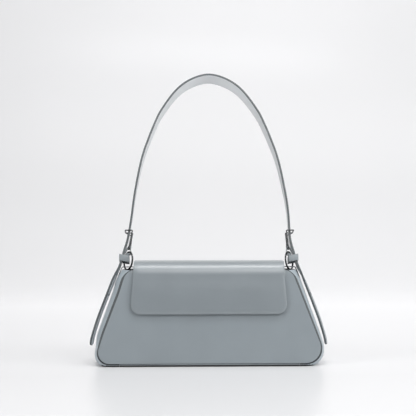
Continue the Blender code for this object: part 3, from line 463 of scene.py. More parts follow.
class Nodes:
    """Short helper for building a node material."""

    def __init__(self, name):
        self.material = bpy.data.materials.new(name)
        self.material.use_nodes = True
        self.tree = self.material.node_tree
        self.tree.nodes.clear()
        self.out = self.add("ShaderNodeOutputMaterial")
        self.shader = self.add("ShaderNodeBsdfPrincipled")
        self.link(self.shader, "BSDF", self.out, "Surface")
        self.where = self.add("ShaderNodeTexCoord")

    def add(self, kind, **values):
        node = self.tree.nodes.new(kind)
        for key, value in values.items():
            if hasattr(node, key) and key not in node.inputs:
                setattr(node, key, value)
            else:
                node.inputs[key.replace("_", " ")].default_value = value
        return node

    def put(self, **values):
        for key, value in values.items():
            self.shader.inputs[key.replace("_", " ")].default_value = value

    def link(self, a, output, b, socket):
        self.tree.links.new(a.outputs[output], b.inputs[socket])

    def math(self, operation, first, second):
        node = self.add("ShaderNodeMath", operation=operation)
        self.tree.links.new(first, node.inputs[0])
        self.tree.links.new(second, node.inputs[1])
        return node.outputs[0]

    def noise(self, scale, detail=2.0, roughness=0.5, stretch=None):
        node = self.add("ShaderNodeTexNoise", Scale=scale, Detail=detail, Roughness=roughness)
        source = self.where
        output = "Object"
        if stretch:
            source = self.add("ShaderNodeMapping", Scale=stretch)
            self.link(self.where, "Object", source, "Vector")
            output = "Vector"
        self.link(source, output, node, "Vector")
        return node

    def cells(self, scale, feature="F1"):
        node = self.add("ShaderNodeTexVoronoi", feature=feature, Scale=scale)
        self.link(self.where, "Object", node, "Vector")
        return node

    def span(self, node, output, low, high, a=0.0, b=1.0):
        spread = self.add("ShaderNodeMapRange", From_Min=low, From_Max=high, To_Min=a, To_Max=b)
        self.link(node, output, spread, "Value")
        return spread

    def tint(self, factor, output, first, second):
        mix = self.add("ShaderNodeMix", data_type="RGBA")
        for socket in mix.inputs:
            if socket.type == "RGBA":
                socket.default_value = (*(first if socket.name == "A" else second), 1)
        self.link(factor, output, mix, "Factor")
        return mix

    def colour_from(self, mix):
        out = [o for o in mix.outputs if o.type == "RGBA"][0]
        self.tree.links.new(out, self.shader.inputs["Base Color"])

    def bumps(self, layers):
        last = None
        for node, output, distance, strength in layers:
            bump = self.add("ShaderNodeBump", Distance=distance, Strength=strength)
            self.link(node, output, bump, "Height")
            if last:
                self.link(last, "Normal", bump, "Normal")
            last = bump
        self.link(last, "Normal", self.shader, "Normal")


def shade(colour, factor):
    return tuple(c * factor for c in colour)


def leather(name, colour, rough=0.42, grain=1.0, coat=0.45, shine=0.8):
    n = Nodes(name)
    cloud = n.noise(22, 3)
    spread = n.span(cloud, "Fac", 0.3, 0.7)
    mix = n.tint(spread, "Result", shade(colour, 0.965), shade(colour, 1.035))
    n.colour_from(mix)
    patches = n.noise(60, 3)
    rough_span = n.span(patches, "Fac", 0.3, 0.7, rough - 0.035, rough + 0.035)
    n.link(rough_span, "Result", n.shader, "Roughness")
    n.put(Specular_IOR_Level=shine, Coat_Weight=coat, Coat_Roughness=0.34)
    pebbles = n.cells(1400, "SMOOTH_F1")
    creases = n.noise(420, 4, 0.6)
    pores = n.cells(2600)
    n.bumps([(creases, "Fac", 0.00012 * grain, 0.35), (pebbles, "Distance", 0.00010 * grain, 0.30),
             (pores, "Distance", 0.00004 * grain, 0.20)])
    return n.material


def edge_paint(name, colour):
    n = Nodes(name)
    cloud = n.noise(140, 3)
    spread = n.span(cloud, "Fac", 0.3, 0.7)
    n.colour_from(n.tint(spread, "Result", shade(colour, 0.92), shade(colour, 1.08)))
    n.put(Roughness=0.34, Coat_Weight=0.2, Coat_Roughness=0.3)
    ridges = n.noise(700, 2, 0.5)
    n.bumps([(ridges, "Fac", 0.00010, 0.35)])
    return n.material


def metal(name, colour, rough=0.2):
    n = Nodes(name)
    cloud = n.noise(300, 3)
    spread = n.span(cloud, "Fac", 0.3, 0.7)
    n.colour_from(n.tint(spread, "Result", shade(colour, 0.85), shade(colour, 1.15)))
    n.put(Metallic=1.0)
    marks = n.span(n.noise(900, 3), "Fac", 0.3, 0.7, rough - 0.05, rough + 0.08)
    n.link(marks, "Result", n.shader, "Roughness")
    n.bumps([(n.noise(1500, 2), "Fac", 0.00003, 0.2)])
    return n.material


def cloth(name, colour, thread=0.0007):
    n = Nodes(name)
    split = n.add("ShaderNodeMapping", Rotation=(0.0, math.radians(45), 0.0))
    n.link(n.where, "Object", split, "Vector")
    ribs = n.add("ShaderNodeTexWave", wave_type="BANDS", bands_direction="X",
                 Scale=0.3142 / thread, Distortion=0.6, Detail=1.0)
    n.link(split, "Vector", ribs, "Vector")
    n.colour_from(n.tint(ribs, "Fac", shade(colour, 0.72), shade(colour, 1.12)))
    n.put(Roughness=0.85, Sheen_Weight=0.25, Sheen_Roughness=0.5)
    fuzz = n.noise(2500, 2)
    n.bumps([(ribs, "Fac", 0.00015, 0.6), (fuzz, "Fac", 0.00008, 0.4)])
    return n.material


def card(name, colour):
    n = Nodes(name)
    fibres = n.noise(900, 5, 0.7, (1.0, 1.0, 0.25))
    spread = n.span(fibres, "Fac", 0.3, 0.7)
    n.colour_from(n.tint(spread, "Result", shade(colour, 0.8), shade(colour, 1.15)))
    n.put(Roughness=0.92)
    n.bumps([(fibres, "Fac", 0.00012, 0.6)])
    return n.material


GREY = (0.226, 0.258, 0.279)
skin_leather = leather("grey_leather", GREY)
# Painted light: the gussets get a copy of the grey leather lightened 1.6 times, for the light their
# sides catch
side_leather_painted_light = leather("grey_gusset_leather_painted_light", shade(GREY, 1.60), 0.44)
# Painted shade: the back panel and flap get a copy of the grey leather darkened to 0.84, for the
# shade the flap has under the top light
flap_leather_painted_shade = leather("grey_flap_leather", shade(GREY, 0.84), 0.43, 1.0, 1.0)
# Painted shade: tabs, chapes and keepers get a copy of the grey leather darkened to 0.8
small_leather_painted_shade = leather("grey_small_leather", shade(GREY, 0.80), 0.46, 1.0, 0.2)
# Painted shade: the strap's outer face gets a copy of the grey leather darkened to 0.95
strap_leather = leather("grey_strap_leather_painted_shade", shade(GREY, 0.95), 0.42, 0.8)
# The strap's inner face gets a pale colour, much paler than its outer face
strap_inside = leather("pale_strap_inner_face", (0.68, 0.70, 0.715), 0.60, 0.8, 0.0)
strap_edge = edge_paint("strap_edge", (0.078, 0.090, 0.096))
painted = edge_paint("painted_edge", (0.150, 0.172, 0.182))
# Dark paint on the panels' cut edges, and painted shade on the gutter faces beside each seam
seam_and_groove_shade_paint = edge_paint("seam_edge_and_painted_groove_shade", (0.062, 0.072, 0.078))
# Painted shadow: near-black paint on the base's underside and the lowest edges of base and gussets
# stands for the contact shadow on the floor
contact_shadow_paint = edge_paint("painted_contact_shadow", (0.008, 0.009, 0.010))
gunmetal = metal("gunmetal", (0.085, 0.088, 0.092), 0.22)
steel = metal("magnet_steel", (0.55, 0.55, 0.56), 0.3)
board = card("board_card", (0.35, 0.30, 0.24))
twill = cloth("twill_lining", (0.16, 0.175, 0.19))


# Front panel, back panel with the flap, and base


def hang(x, z):
    """A slight unevenness of the leather over its board, in metres."""
    spot = Vector((x * 17.0, z * 21.0, 3.7))
    return HANG_DEPTH * noise.noise(spot)


def panel_fade(x, half, z):
    """1 in the middle of a panel and 0 at its edges."""
    side = clamp((half - abs(x)) / PANEL_FADE)
    return side * clamp((z - PANEL_BOTTOM) / PANEL_FADE) * clamp((PANEL_TOP - z) / PANEL_FADE)


def left_draw(z):
    """How much nearer the middle the bag's left side stands than its right side."""
    low = ease(clamp((LEFT_DRAW_LOW_TOP - z) / LEFT_DRAW_LOW_SPAN))
    high = clamp((LEFT_DRAW_TOP - z) / LEFT_DRAW_TOP_SPAN)
    return (LEFT_DRAW + (LEFT_DRAW_LOW - LEFT_DRAW) * low) * high


def two_sided_outline():
    """Rows of (left half width, right half width, height); the left bottom corner is tighter."""
    right = panel_outline(0)
    left = panel_outline(0, corner=LEFT_RADIUS_SHARE)
    rows = []
    for spot in right:
        half = left[0].x
        for low, high in zip(left, left[1:]):
            if low.y <= spot.y + 1e-9:
                share = min(1.0, (spot.y - low.y) / max(1e-9, high.y - low.y))
                half = low.x + (high.x - low.x) * share
        rows.append((half - left_draw(spot.y), spot.x, spot.y))
    return rows


def top_bend(x, z):
    """How far the front's top edge leans in under the flap's fold."""
    rise = clamp((z - TOP_BEND_START) / (PANEL_TOP - TOP_BEND_START))
    return TOP_BEND * rise * rise * clamp((TOP_BEND_HALF - abs(x)) / TOP_BEND_SIDE)


def panel_row(left, right, z, shares, drift, bend, sign):
    """One row of a panel's outer and inner face; sign is -1 for the front and 1 for the back."""
    row_out = []
    row_in = []
    for s in shares:
        x = (left if s < 0 else right) * s
        y = face_depth(x, z) + hang(x + drift, z) * panel_fade(x, right, z) - bend * top_bend(x, z)
        row_out.append(Vector((x, sign * y, z)))
        row_in.append(Vector((x, sign * (y - PANEL_THICKNESS), z)))
    return row_out, row_in


def build_front():
    shares = spread_shares(61, 0.35)
    outer = []
    inner = []
    for left, right, z in two_sided_outline():
        row_out, row_in = panel_row(left, right, z, shares, 0.0, 1, -1)
        outer.append(row_out)
        inner.append(row_in)
    points, faces, kinds = slab(outer, inner)
    thing = piece("front_leather", points, faces, [skin_leather, skin_leather, seam_and_groove_shade_paint], "bag",
                  stands_for=["front_panel"], picks=kinds)
    soften(thing, PANEL_EDGE_ROUND)


def flap_profile(arc=16):
    stack = 2 * GAP + FLAP_THICKNESS + BOARD_THICKNESS + LINING_THICKNESS + FLAP_STANDOFF
    hinge = Vector((half_depth(PANEL_TOP), PANEL_TOP + GAP))
    rear_top = Vector((half_depth(PANEL_TOP), FLAP_CREST))
    front_low = Vector((-half_depth(FLAP_BOTTOM) - stack, FLAP_BOTTOM))
    lean = (BASE_HALF_DEPTH - TOP_HALF_DEPTH) / PANEL_TOP
    front_top = Vector((front_low.x + lean * (FLAP_CREST - FLAP_BOTTOM), FLAP_CREST))
    rear = fillet(hinge, rear_top, front_top, FLAP_REAR_RADIUS, arc)
    fore = fillet(rear_top, front_top, front_low, FOLD_RADIUS, arc)
    path = [hinge] + rear
    path += [rear[-1].lerp(fore[0], k / 8) for k in range(1, 8)]
    path += fore
    start = fore[-1]
    straight = (front_low - start).length
    direction = (front_low - start).normalized()
    stops = [k / 10 * (straight - FLAP_CORNER_RADIUS) for k in range(1, 11)]
    for k in range(1, arc + 1):
        stops.append(straight - FLAP_CORNER_RADIUS * (1 - math.sin(math.pi / 2 * k / arc)))
    return path + [start + direction * stop for stop in stops], len([hinge] + rear) + 7 + arc


def fold_soften(past):
    """How far the leather draws in round its front fold, so that the roll runs out slowly."""
    span = FOLD_RUN_OUT if past > 0 else FOLD_RUN_IN
    share = min(1.0, abs(past) / span)
    return FOLD_SOFT * (1 - share) ** 2 * (1 + 2 * share)


def edge_pinch(from_edge):
    """How far the flap's outer face is pressed in near its cut edges."""
    return EDGE_PINCH * ease(clamp(1 - from_edge / EDGE_PINCH_WIDTH))


def flap_layer(depth, thickness, inset, columns=49):
    """Outer and inner grids of one layer of the flap."""
    path, fold_at = flap_profile()
    lengths = [0.0]
    for here, after in zip(path, path[1:]):
        lengths.append(lengths[-1] + (after - here).length)
    total = lengths[-1]
    fold = lengths[fold_at]
    outer = []
    inner = []
    last = None
    for i, spot in enumerate(path):
        along = (path[min(len(path) - 1, i + 1)] - path[max(0, i - 1)]).normalized()
        normal = Vector((-along.y, along.x))
        place = lengths[i]
        if inset:
            place = min(max(place, inset), total - inset)
            for k in range(1, len(path)):
                if lengths[k] >= place:
                    share = (place - lengths[k - 1]) / (lengths[k] - lengths[k - 1])
                    spot = path[k - 1].lerp(path[k], share)
                    break
        left = total - place
        half = FLAP_HALF_TOP + FLAP_FLARE * max(0.0, (place - fold) / (total - fold)) - inset
        if left < FLAP_CORNER_RADIUS:
            radius = FLAP_CORNER_RADIUS - inset
            drop = radius - (left - inset)
            half -= radius - math.sqrt(max(0.0, radius * radius - drop * drop))
        if last is not None and (spot - last).length < 0.05 * MM:
            continue
        last = spot
        row_out = []
        row_in = []
        start = fold * FLAP_SHIFT_START_SHARE
        reach = clamp((place - start) / (fold - start))
        for s in spread_shares(columns, 0.55):
            x = half * s + FLAP_SHIFT * reach
            swell = 0.0
            if spot.x < 0:
                swell = face_depth(x, spot.y) - half_depth(spot.y)
                fade = min(1.0, (half - abs(x)) / PANEL_FADE) * min(1.0, left / PANEL_FADE)
                swell += hang(x + 0.3, spot.y) * fade * min(1.0, -spot.x / (10 * MM))
            upper = spot + normal * depth
            lower = spot + normal * (depth + thickness)
            if depth == 0:
                upper += normal * fold_soften(place - fold)
                pinch = edge_pinch(min(half - abs(x), left)) * reach
                upper += normal * pinch
                lower += normal * pinch
            row_out.append(Vector((x, upper.x - swell, upper.y)))
            row_in.append(Vector((x, lower.x - swell, lower.y)))
        outer.append(row_out)
        inner.append(row_in)
    return outer, inner


def build_back_and_flap():
    columns = 49
    shares = spread_shares(columns, 0.55)
    outer = []
    inner = []
    for left, right, z in two_sided_outline():
        if z > PANEL_TOP / 2 and right < FLAP_HALF_TOP:
            break
        row_out, row_in = panel_row(left, right, z, shares, 0.7, 0, 1)
        outer.append(row_out)
        inner.append(row_in)
    flap_out, flap_in = flap_layer(0, FLAP_THICKNESS, 0, columns)
    points, faces, kinds = slab(outer + flap_out, inner + flap_in)
    thing = piece("back_and_flap_leather", points, faces, [flap_leather_painted_shade, flap_leather_painted_shade, painted],
                  stands_for=["back_panel", "flap_outer"], picks=kinds)
    soften(thing, FLAP_EDGE_ROUND)
    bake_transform(thing)


def build_flap_lining():
    depth = FLAP_THICKNESS + 2 * GAP + BOARD_THICKNESS
    outer, inner = flap_layer(depth, LINING_THICKNESS, 1.0 * MM)
    points, faces, _ = slab(outer, inner)
    piece("flap_lining_cloth", points, faces, [twill], "flap", ["flap_lining"])


def build_flap_board():
    outer, inner = flap_layer(FLAP_THICKNESS + GAP, BOARD_THICKNESS, FLAP_BOARD_INSET)
    points, faces, _ = slab(outer, inner)
    piece("flap_board_card", points, faces, [board], "flap", ["flap_board"])


# Section of the base and gussets from the seam to the middle: how far out, and how far in from
# the panel's face in millimetres, under the bag and at its sides
WELT_BASE = ((0.0, 1.9), (0.05, 1.7), (0.10, 1.2), (0.15, 0.6), (0.21, 0.25), (0.29, 0.2),
             (0.38, 0.45), (0.47, 0.9), (0.70, 1.0), (0.97, 1.1))
WELT_SIDE = ((0.0, 1.9), (0.07, 2.25), (0.135, 2.5), (0.20, 2.45), (0.30, 2.55), (0.40, 3.1),
             (0.50, 4.3), (0.60, 6.0), (0.70, 8.4), (0.79, 11.3))
MIDDLE_SHARES = (0.92, 0.81, 0.60, 0.40, 0.22, 0.0)
REST_SHARE = 0.36
ROUND_POWER = 1.15
BASE_COLUMNS = 31
# How many faces beside a seam are painted dark, as the seam's dark edge and as painted shade in the
# groove, and where the near-black painted contact shadow under the bag begins
SEAM_FACES = 5
BASE_SEAM_FACES = 3
CONTACT_SHADOW_FACE = 6
CONTACT_SHADOW_HEIGHT = 2.2 * MM


def section(depth, side):
    """Points from the front seam to the back one as (how far out, y)."""
    near = []
    for (out_a, in_a), (out_b, in_b) in zip(WELT_BASE, WELT_SIDE):
        out = out_a + (out_b - out_a) * side
        inward = (in_a + (in_b - in_a) * side) * MM
        near.append((out, depth - inward))
    last_out, last_y = near[-1]
    middle = []
    for share in MIDDLE_SHARES:
        rise = 1 - share ** 2
        flat = ease(min(1.0, rise / REST_SHARE))
        round_out = 1 - (1 - rise) ** ROUND_POWER
        out = last_out + (1 - last_out) * (flat + (round_out - flat) * side)
        middle.append((out, last_y * share))
    half = near + middle
    front = [(out, -y) for out, y in half]
    back = [(out, y) for out, y in reversed(half[:-1])]
    return front + back


def seam_kinds(faces, kinds, columns, wide):
    """Paints the gutter beside both seams dark, as painted shade in the groove."""
    for n, face in enumerate(faces):
        if kinds[n] == 0:
            column = min(v % columns for v in face)
            if column < wide or column >= columns - 1 - wide:
                kinds[n] = 2


def build_base():
    end = GUSSET_END_HALF - GAP
    outer = []
    inner = []
    for i in range(BASE_COLUMNS):
        x = end * (2 * i / (BASE_COLUMNS - 1) - 1)
        low = []
        high = []
        for out, y in section(half_depth(0), 0):
            z = (PANEL_BOTTOM - GAP) * (1 - out)
            low.append(Vector((x, y, z)))
            high.append(Vector((x, y * 0.965, z + PANEL_THICKNESS * (0.55 + 0.45 * out))))
        outer.append(low)
        inner.append(high)
    points, faces, kinds = slab(outer, inner)
    columns = len(outer[0])
    seam_kinds(faces, kinds, columns, BASE_SEAM_FACES)
    # Painted contact shadow: the base's lower lip and whole underside are near-black
    for n, face in enumerate(faces):
        column = min(v % columns for v in face)
        if kinds[n] == 0 and CONTACT_SHADOW_FACE <= column < columns - 1 - CONTACT_SHADOW_FACE:
            kinds[n] = 3
    thing = piece("base_leather", points, faces,
                  [skin_leather, skin_leather, seam_and_groove_shade_paint, contact_shadow_paint], "bag",
                  stands_for=["base_panel"], picks=kinds)
    soften(thing, BASE_EDGE_ROUND, 2)


# Gussets and ring tabs


def gusset_middle(z):
    low = PANEL_HALF_BOTTOM + GUSSET_SWELL_BOTTOM
    high = PANEL_HALF_TOP + GUSSET_SWELL_TOP
    return low + (high - low) * z / GUSSET_TOP


def tab_half_room():
    return RING_RADIUS * math.sin(RING_YAW) + RING_WIRE_RADIUS + TAB_SIDE_ROOM


def tab_drop():
    half = TAB_WIDTH / 2
    nearest = RING_RADIUS * math.cos(RING_YAW)
    return nearest * math.sqrt(1 - (half / RING_RADIUS) ** 2) - RING_WIRE_RADIUS - TAB_ROOM_ABOVE


def crown_curve():
    """Shoulder, bend and crest of the gusset's upper end."""
    shoulder = Vector((gusset_middle(GUSSET_SHOULDER), GUSSET_SHOULDER))
    crest = Vector((RING_CENTRE_X + TAB_THICKNESS + tab_half_room(), GUSSET_TOP))
    bend = (shoulder + crest) / 2 + Vector((GUSSET_SHOULDER_BEND, GUSSET_SHOULDER_BEND))
    return shoulder, bend, crest


def on_curve(curve, t):
    return curve[0] * (1 - t) ** 2 + curve[1] * (2 * t * (1 - t)) + curve[2] * t ** 2


def gusset_lines(arc, line, corner, belly):
    low = PANEL_BOTTOM - GAP
    high = PANEL_TOP - PANEL_REVEAL
    seam = side_line(PANEL_HALF_BOTTOM - PANEL_REVEAL, low, PANEL_HALF_TOP - PANEL_REVEAL, high,
                     PANEL_BOTTOM_RADIUS * corner, PANEL_TOP_RADIUS, arc, line)
    curve = crown_curve()
    outer = side_line(gusset_middle(0), 0, curve[0].x, curve[0].y, GUSSET_RADIUS * corner, 0,
                      arc, line)
    outer += [on_curve(curve, k / arc) for k in range(1, arc + 1)]
    for spot in outer:
        rise = clamp((spot.y - BELLY_LOW) / BELLY_RISE)
        fall = clamp((BELLY_HIGH - spot.y) / BELLY_FALL)
        spot.x += belly * ease(rise) * ease(fall)
    if corner < 1:
        for spot in seam:
            spot.x -= left_draw(spot.y)
        for spot in outer:
            low = clamp((LEFT_CORNER_TOP - spot.y) / LEFT_CORNER_SPAN)
            spot.x -= left_draw(spot.y) + LEFT_DRAW_CORNER * low
    steps = 6
    lead = [(GUSSET_END_HALF + (seam[0].x - GUSSET_END_HALF) * k / steps) for k in range(steps)]
    seam = [Vector((x, seam[0].y)) for x in lead] + seam
    lead = [(GUSSET_END_HALF + (outer[0].x - GUSSET_END_HALF) * k / steps) for k in range(steps)]
    outer = [Vector((x, 0)) for x in lead] + outer
    return seam, outer, steps


def gusset_grid(corner_share, belly, arc=14, line=24):
    seam, outer, lead = gusset_lines(arc, line, corner_share, belly)
    corner = arc + lead
    shoulder = len(outer) - 1 - arc
    notch = (GUSSET_NOTCH - GUSSET_SHOULDER) / (GUSSET_TOP - GUSSET_SHOULDER)
    near = TAB_WIDTH / 2 + GAP
    far = near + GUSSET_NOTCH_SLANT
    rows = []
    for i, (low, high) in enumerate(zip(seam, outer)):
        side = clamp((i - lead * 0.5) / (corner - lead * 0.5))
        row = []
        points = section(half_depth((low.y + high.y) / 2), side)
        if i > shoulder - 2:
            points = widen_notch(points, near, far)
        for out, y in points:
            spot = low + (high - low) * out
            if i > shoulder:
                into = clamp((far - abs(y)) / (far - near))
                if into > 0.001:
                    place = shoulder + (i - shoulder) * (notch * into + (1 - into))
                    start = min(int(place), len(outer) - 2)
                    top = outer[start].lerp(outer[start + 1], place - start)
                    foot = seam[start].lerp(seam[start + 1], place - start)
                    spot = foot + (top - foot) * out
            row.append(Vector((spot.x, y, spot.y)))
        rows.append(row)
    return rows


def widen_notch(points, near, far):
    """Moves the two columns nearest the notch's edges onto them."""
    result = list(points)
    for goal in (far, near):
        for sign in (-1, 1):
            best = min(range(len(result)), key=lambda k: abs(result[k][1] - sign * goal))
            result[best] = (result[best][0], sign * goal)
    return result


def build_gussets():
    for name, sign in (("right", 1), ("left", -1)):
        corner = 1.0 if sign > 0 else LEFT_RADIUS_SHARE
        outer = gusset_grid(corner, BELLY_RIGHT if sign > 0 else BELLY_LEFT)
        normals = grid_normals(outer)
        inner = [[p - n * GUSSET_THICKNESS for p, n in zip(row, line)]
                 for row, line in zip(outer, normals)]
        points, faces, kinds = slab(outer, inner)
        seam_kinds(faces, kinds, len(outer[0]), SEAM_FACES)
        own = points if sign > 0 else mirrored(points)
        # Painted contact shadow: the gusset's faces nearest the floor are near-black
        for n, face in enumerate(faces):
            if kinds[n] == 0 and max(own[v].z for v in face) < CONTACT_SHADOW_HEIGHT:
                kinds[n] = 3
        thing = piece("gusset_leather_" + name, own, faces,
                      [side_leather_painted_light, side_leather_painted_light, seam_and_groove_shade_paint, contact_shadow_paint],
                      "bag", stands_for=["gusset_" + name], picks=kinds)
        soften(thing, GUSSET_EDGE_ROUND, 2, 50)


def tab_head():
    """Point at the notch and the direction up to it, on the CAD's gusset line."""
    curve = crown_curve()
    head = on_curve(curve, (GUSSET_NOTCH - GUSSET_SHOULDER) / (GUSSET_TOP - GUSSET_SHOULDER))
    up = (head - curve[0]).normalized()
    return Vector((head.x, 0, head.y)), Vector((up.x, 0, up.y))


def tab_path():
    half = TAB_THICKNESS / 2
    wide = tab_half_room() + half
    ceiling = RING_CENTRE_Z - tab_drop() + half
    floor = RING_CENTRE_Z - RING_RADIUS - RING_WIRE_RADIUS - TAB_ROOM_BELOW - half
    head, up = tab_head()
    out = Vector((up.z, 0, -up.x))
    outer_top = head + out * (GAP + half) + up * GAP
    inner_top = head - out * (GUSSET_THICKNESS + GAP + half) + up * TAB_ROUNDING
    corners = [
        outer_top - up * TAB_LEG,
        outer_top,
        Vector((RING_CENTRE_X + wide, 0, ceiling)),
        Vector((RING_CENTRE_X - wide, 0, ceiling)),
        Vector((RING_CENTRE_X - wide, 0, floor)),
        inner_top,
        inner_top - up * TAB_LEG,
    ]
    radii = [0, TAB_ROUNDING, TAB_ROUNDING, TAB_ROUNDING, TAB_ROUNDING / 2, TAB_ROUNDING, 0]
    path = rounded_path(corners, radii, 8)
    result = []
    for here, after in zip(path, path[1:]):
        count = max(1, int((after - here).length / (1.0 * MM)))
        result += [here.lerp(after, k / count) for k in range(count)]
    return result + [path[-1]]


def build_tabs():
    path = tab_path()
    along = tangents(path, False)
    across = Vector((0, 1, 0))
    strip = band_section(TAB_WIDTH / 2, TAB_THICKNESS / 2, TAB_EDGE_ROUND)
    rings = []
    for point, direction in zip(path, along):
        out = direction.cross(across).normalized()
        rings.append([point + across * u + out * v for u, v in strip])
    points, faces = skin(rings, False)
    kinds = edge_kinds(len(rings), len(strip), 5)
    for name, sign in (("right", 1), ("left", -1)):
        own = points if sign > 0 else mirrored(points)
        piece("tab_leather_" + name, own, faces, [small_leather_painted_shade, painted], "bag",
              stands_for=["ring_tab_" + name], picks=kinds)


def edge_kinds(ring_count, side_count, turns, inside=0, edge=1):
    """Material of each face of an open band: 0 outside, then its inner face and its edges."""
    kinds = []
    for _ in range(ring_count - 1):
        for j in range(side_count):
            corner = j // turns
            on_flat = j % turns == turns - 1
            if on_flat and corner == 0:
                kinds.append(0)
            elif on_flat and corner == 2:
                kinds.append(inside)
            else:
                kinds.append(edge)
    return kinds + [edge, edge]


# Strap


def strap_drop(s):
    if s >= -TAIL_STRAIGHT:
        return s * math.sin(STRAP_LEAN), s * math.cos(STRAP_LEAN), STRAP_LEAN
    below = -s - TAIL_STRAIGHT
    y0 = -TAIL_STRAIGHT * math.sin(STRAP_LEAN)
    z0 = -TAIL_STRAIGHT * math.cos(STRAP_LEAN)
    run = min(below, TAIL_DROOP)
    lean = STRAP_LEAN * (1 - run / TAIL_DROOP)
    bend = TAIL_DROOP / STRAP_LEAN
    y = y0 - bend * (math.cos(lean) - math.cos(STRAP_LEAN))
    z = z0 - bend * (math.sin(STRAP_LEAN) - math.sin(lean)) - (below - run)
    return y, z, lean


def chape_room():
    wire_room = RING_WIRE_RADIUS / math.cos(RING_YAW)
    return CHAPE_WIDTH / 2 * math.tan(RING_YAW) + wire_room + CHAPE_RING_ROOM


def strap_knots():
    span = RING_CENTRE_X
    knots = [(-span * ARCH_SHARES[1][0], ARCH_HEIGHT * ARCH_SHARES[1][1])]
    knots += [(span * x, ARCH_HEIGHT * s) for x, s in ARCH_SHARES]
    knots.append((RING_CENTRE_X + STRAP_BUCKLE_OUT, STRAP_BUCKLE_UP))
    chape_out = chape_room() + CHAPE_THICKNESS + GAP + STRAP_THICKNESS / 2
    knots.append((RING_CENTRE_X + chape_out, RING_RADIUS))
    top = RING_CENTRE_X + TAIL_TOP_OUT
    spread = gusset_middle(0) - TAIL_TIP_OUT - top
    for x, s in TAIL_SHARES:
        knots.append((top + spread * x, -TAIL_LENGTH * s))
    return knots


def strap_half_width(s):
    share = clamp((s - TAPER_START) / (ARCH_HEIGHT - TAPER_START))
    grown = 1 - (1 - share) ** STRAP_TAPER_POWER
    half = (STRAP_END_WIDTH + (STRAP_WIDTH - STRAP_END_WIDTH) * grown) / 2
    tip = s + TAIL_LENGTH
    round_tip = STRAP_END_WIDTH / 2
    if tip < round_tip:
        half *= math.sqrt(max(0.02, 1 - (1 - tip / round_tip) ** 2))
    return half


def strap_sway(s):
    return STRAP_SWAY * ease(clamp((s - SWAY_START) / (SWAY_END - SWAY_START)))


def strap_half(steps=10):
    line = spline(strap_knots(), steps)[steps:]
    tip = line[-1]
    before = line[-2]
    line[-1:] = [before.lerp(tip, share)
                 for share in (0.2, 0.4, 0.55, 0.7, 0.8, 0.88, 0.94, 0.98, 1.0)]
    return line


def strap_station(x, s):
    y, z, lean = strap_drop(s)
    side = Vector((0, math.cos(lean), -math.sin(lean)))
    return Vector((x + strap_sway(s), y, RING_CENTRE_Z + z)), side, strap_half_width(s)


def strap_x_at(s, side=0):
    line = strap_half()
    for high, low in zip(line, line[1:]):
        if high.y >= s >= low.y and high.y > low.y:
            mean = high.x + (low.x - high.x) * (high.y - s) / (high.y - low.y)
            return mean + side * strap_sway(s)
    return line[-1].x


def tail_twist(s):
    """How far a tail turns about its own length, so that its outer face looks forward."""
    return TAIL_TWIST * ease(clamp((-s - TWIST_START) / (TWIST_END - TWIST_START)))


def build_strap():
    half = strap_half()
    stations = [strap_station(-spot.x, spot.y) for spot in reversed(half[1:])]
    stations += [strap_station(spot.x, spot.y) for spot in half]
    path = [station[0] for station in stations]
    along = tangents(path, False)
    rings = []
    deep = STRAP_THICKNESS / 2
    distances = [spot.y for spot in reversed(half[1:])] + [spot.y for spot in half]
    for (point, side, wide), direction, s in zip(stations, along, distances):
        across = (side - direction * side.dot(direction)).normalized()
        out = direction.cross(across).normalized()
        turn = tail_twist(s) * (1 if point.x > 0 else -1)
        across, out = (across * math.cos(turn) + out * math.sin(turn),
                       out * math.cos(turn) - across * math.sin(turn))
        soft = min(STRAP_EDGE_ROUND, wide * 0.9)
        rings.append([point + across * u + out * v for u, v in band_section(wide, deep, soft, 4)])
    points, faces = skin(rings, False)
    kinds = edge_kinds(len(rings), len(rings[0]), 5, 1, 2)
    thing = piece("strap_leather", points, faces, [strap_leather, strap_inside, strap_edge],
                  "strap", stands_for=["shoulder_strap"], picks=kinds)
    holes = []
    for sign in (1, -1):
        for k in range(HOLE_COUNT):
            s = HOLE_UP - k * HOLE_PITCH
            centre, _, _ = strap_station(sign * strap_x_at(s), s)
            ahead, _, _ = strap_station(sign * strap_x_at(s + GAP), s + GAP)
            along_here = (ahead - centre).normalized()
            axis = Vector((along_here.z, 0, -along_here.x))
            holes.append((centre, axis))
    cutter_points = []
    cutter_faces = []
    for centre, axis in holes:
        span = axis.normalized() * (STRAP_THICKNESS / 2 + 2 * MM)
        own_points, own_faces = wire([centre - span, centre + span], HOLE_RADIUS, False, 24)
        start = len(cutter_points)
        cutter_points += own_points
        cutter_faces += [tuple(start + v for v in f) for f in own_faces]
    cutter = add_mesh("hole_cutter", cutter_points, cutter_faces, [strap_edge])
    cut = thing.modifiers.new("holes", "BOOLEAN")
    cut.operation = "DIFFERENCE"
    cut.solver = "EXACT"
    cut.object = cutter
    bpy.context.view_layer.update()
    bake(thing)
    data = cutter.data
    bpy.data.objects.remove(cutter)
    bpy.data.meshes.remove(data)


# Hardware, chapes and keepers


def ring_path():
    path = []
    for k in range(96):
        turn = 2 * math.pi * k / 96
        side = RING_RADIUS * math.sin(turn)
        path.append(leaned(RING_CENTRE_X + side * math.sin(RING_YAW), side * math.cos(RING_YAW),
                           RING_RADIUS * math.cos(turn)))
    return path


def frame_path(side):
    wide = STRAP_END_WIDTH / 2 + FRAME_SIDE_ROOM + WIRE_RADIUS
    near = strap_x_at(FRAME_TOP, side) - FRAME_IN
    far = strap_x_at(FRAME_TOP, side) + FRAME_OUT
    corners = []
    for edge in (-1, 1):
        line = [(HINGE_BAR_X, HINGE_BAR_UP), (near, FRAME_TOP), (far, FRAME_TOP)]
        if edge > 0:
            line.reverse()
        corners += [Vector((x, edge * wide, up)) for x, up in line]
    loop = rounded_path(corners, [FRAME_CORNER] * len(corners), 8, closed=True)
    return [leaned(p.x, p.y, p.z) for p in loop]


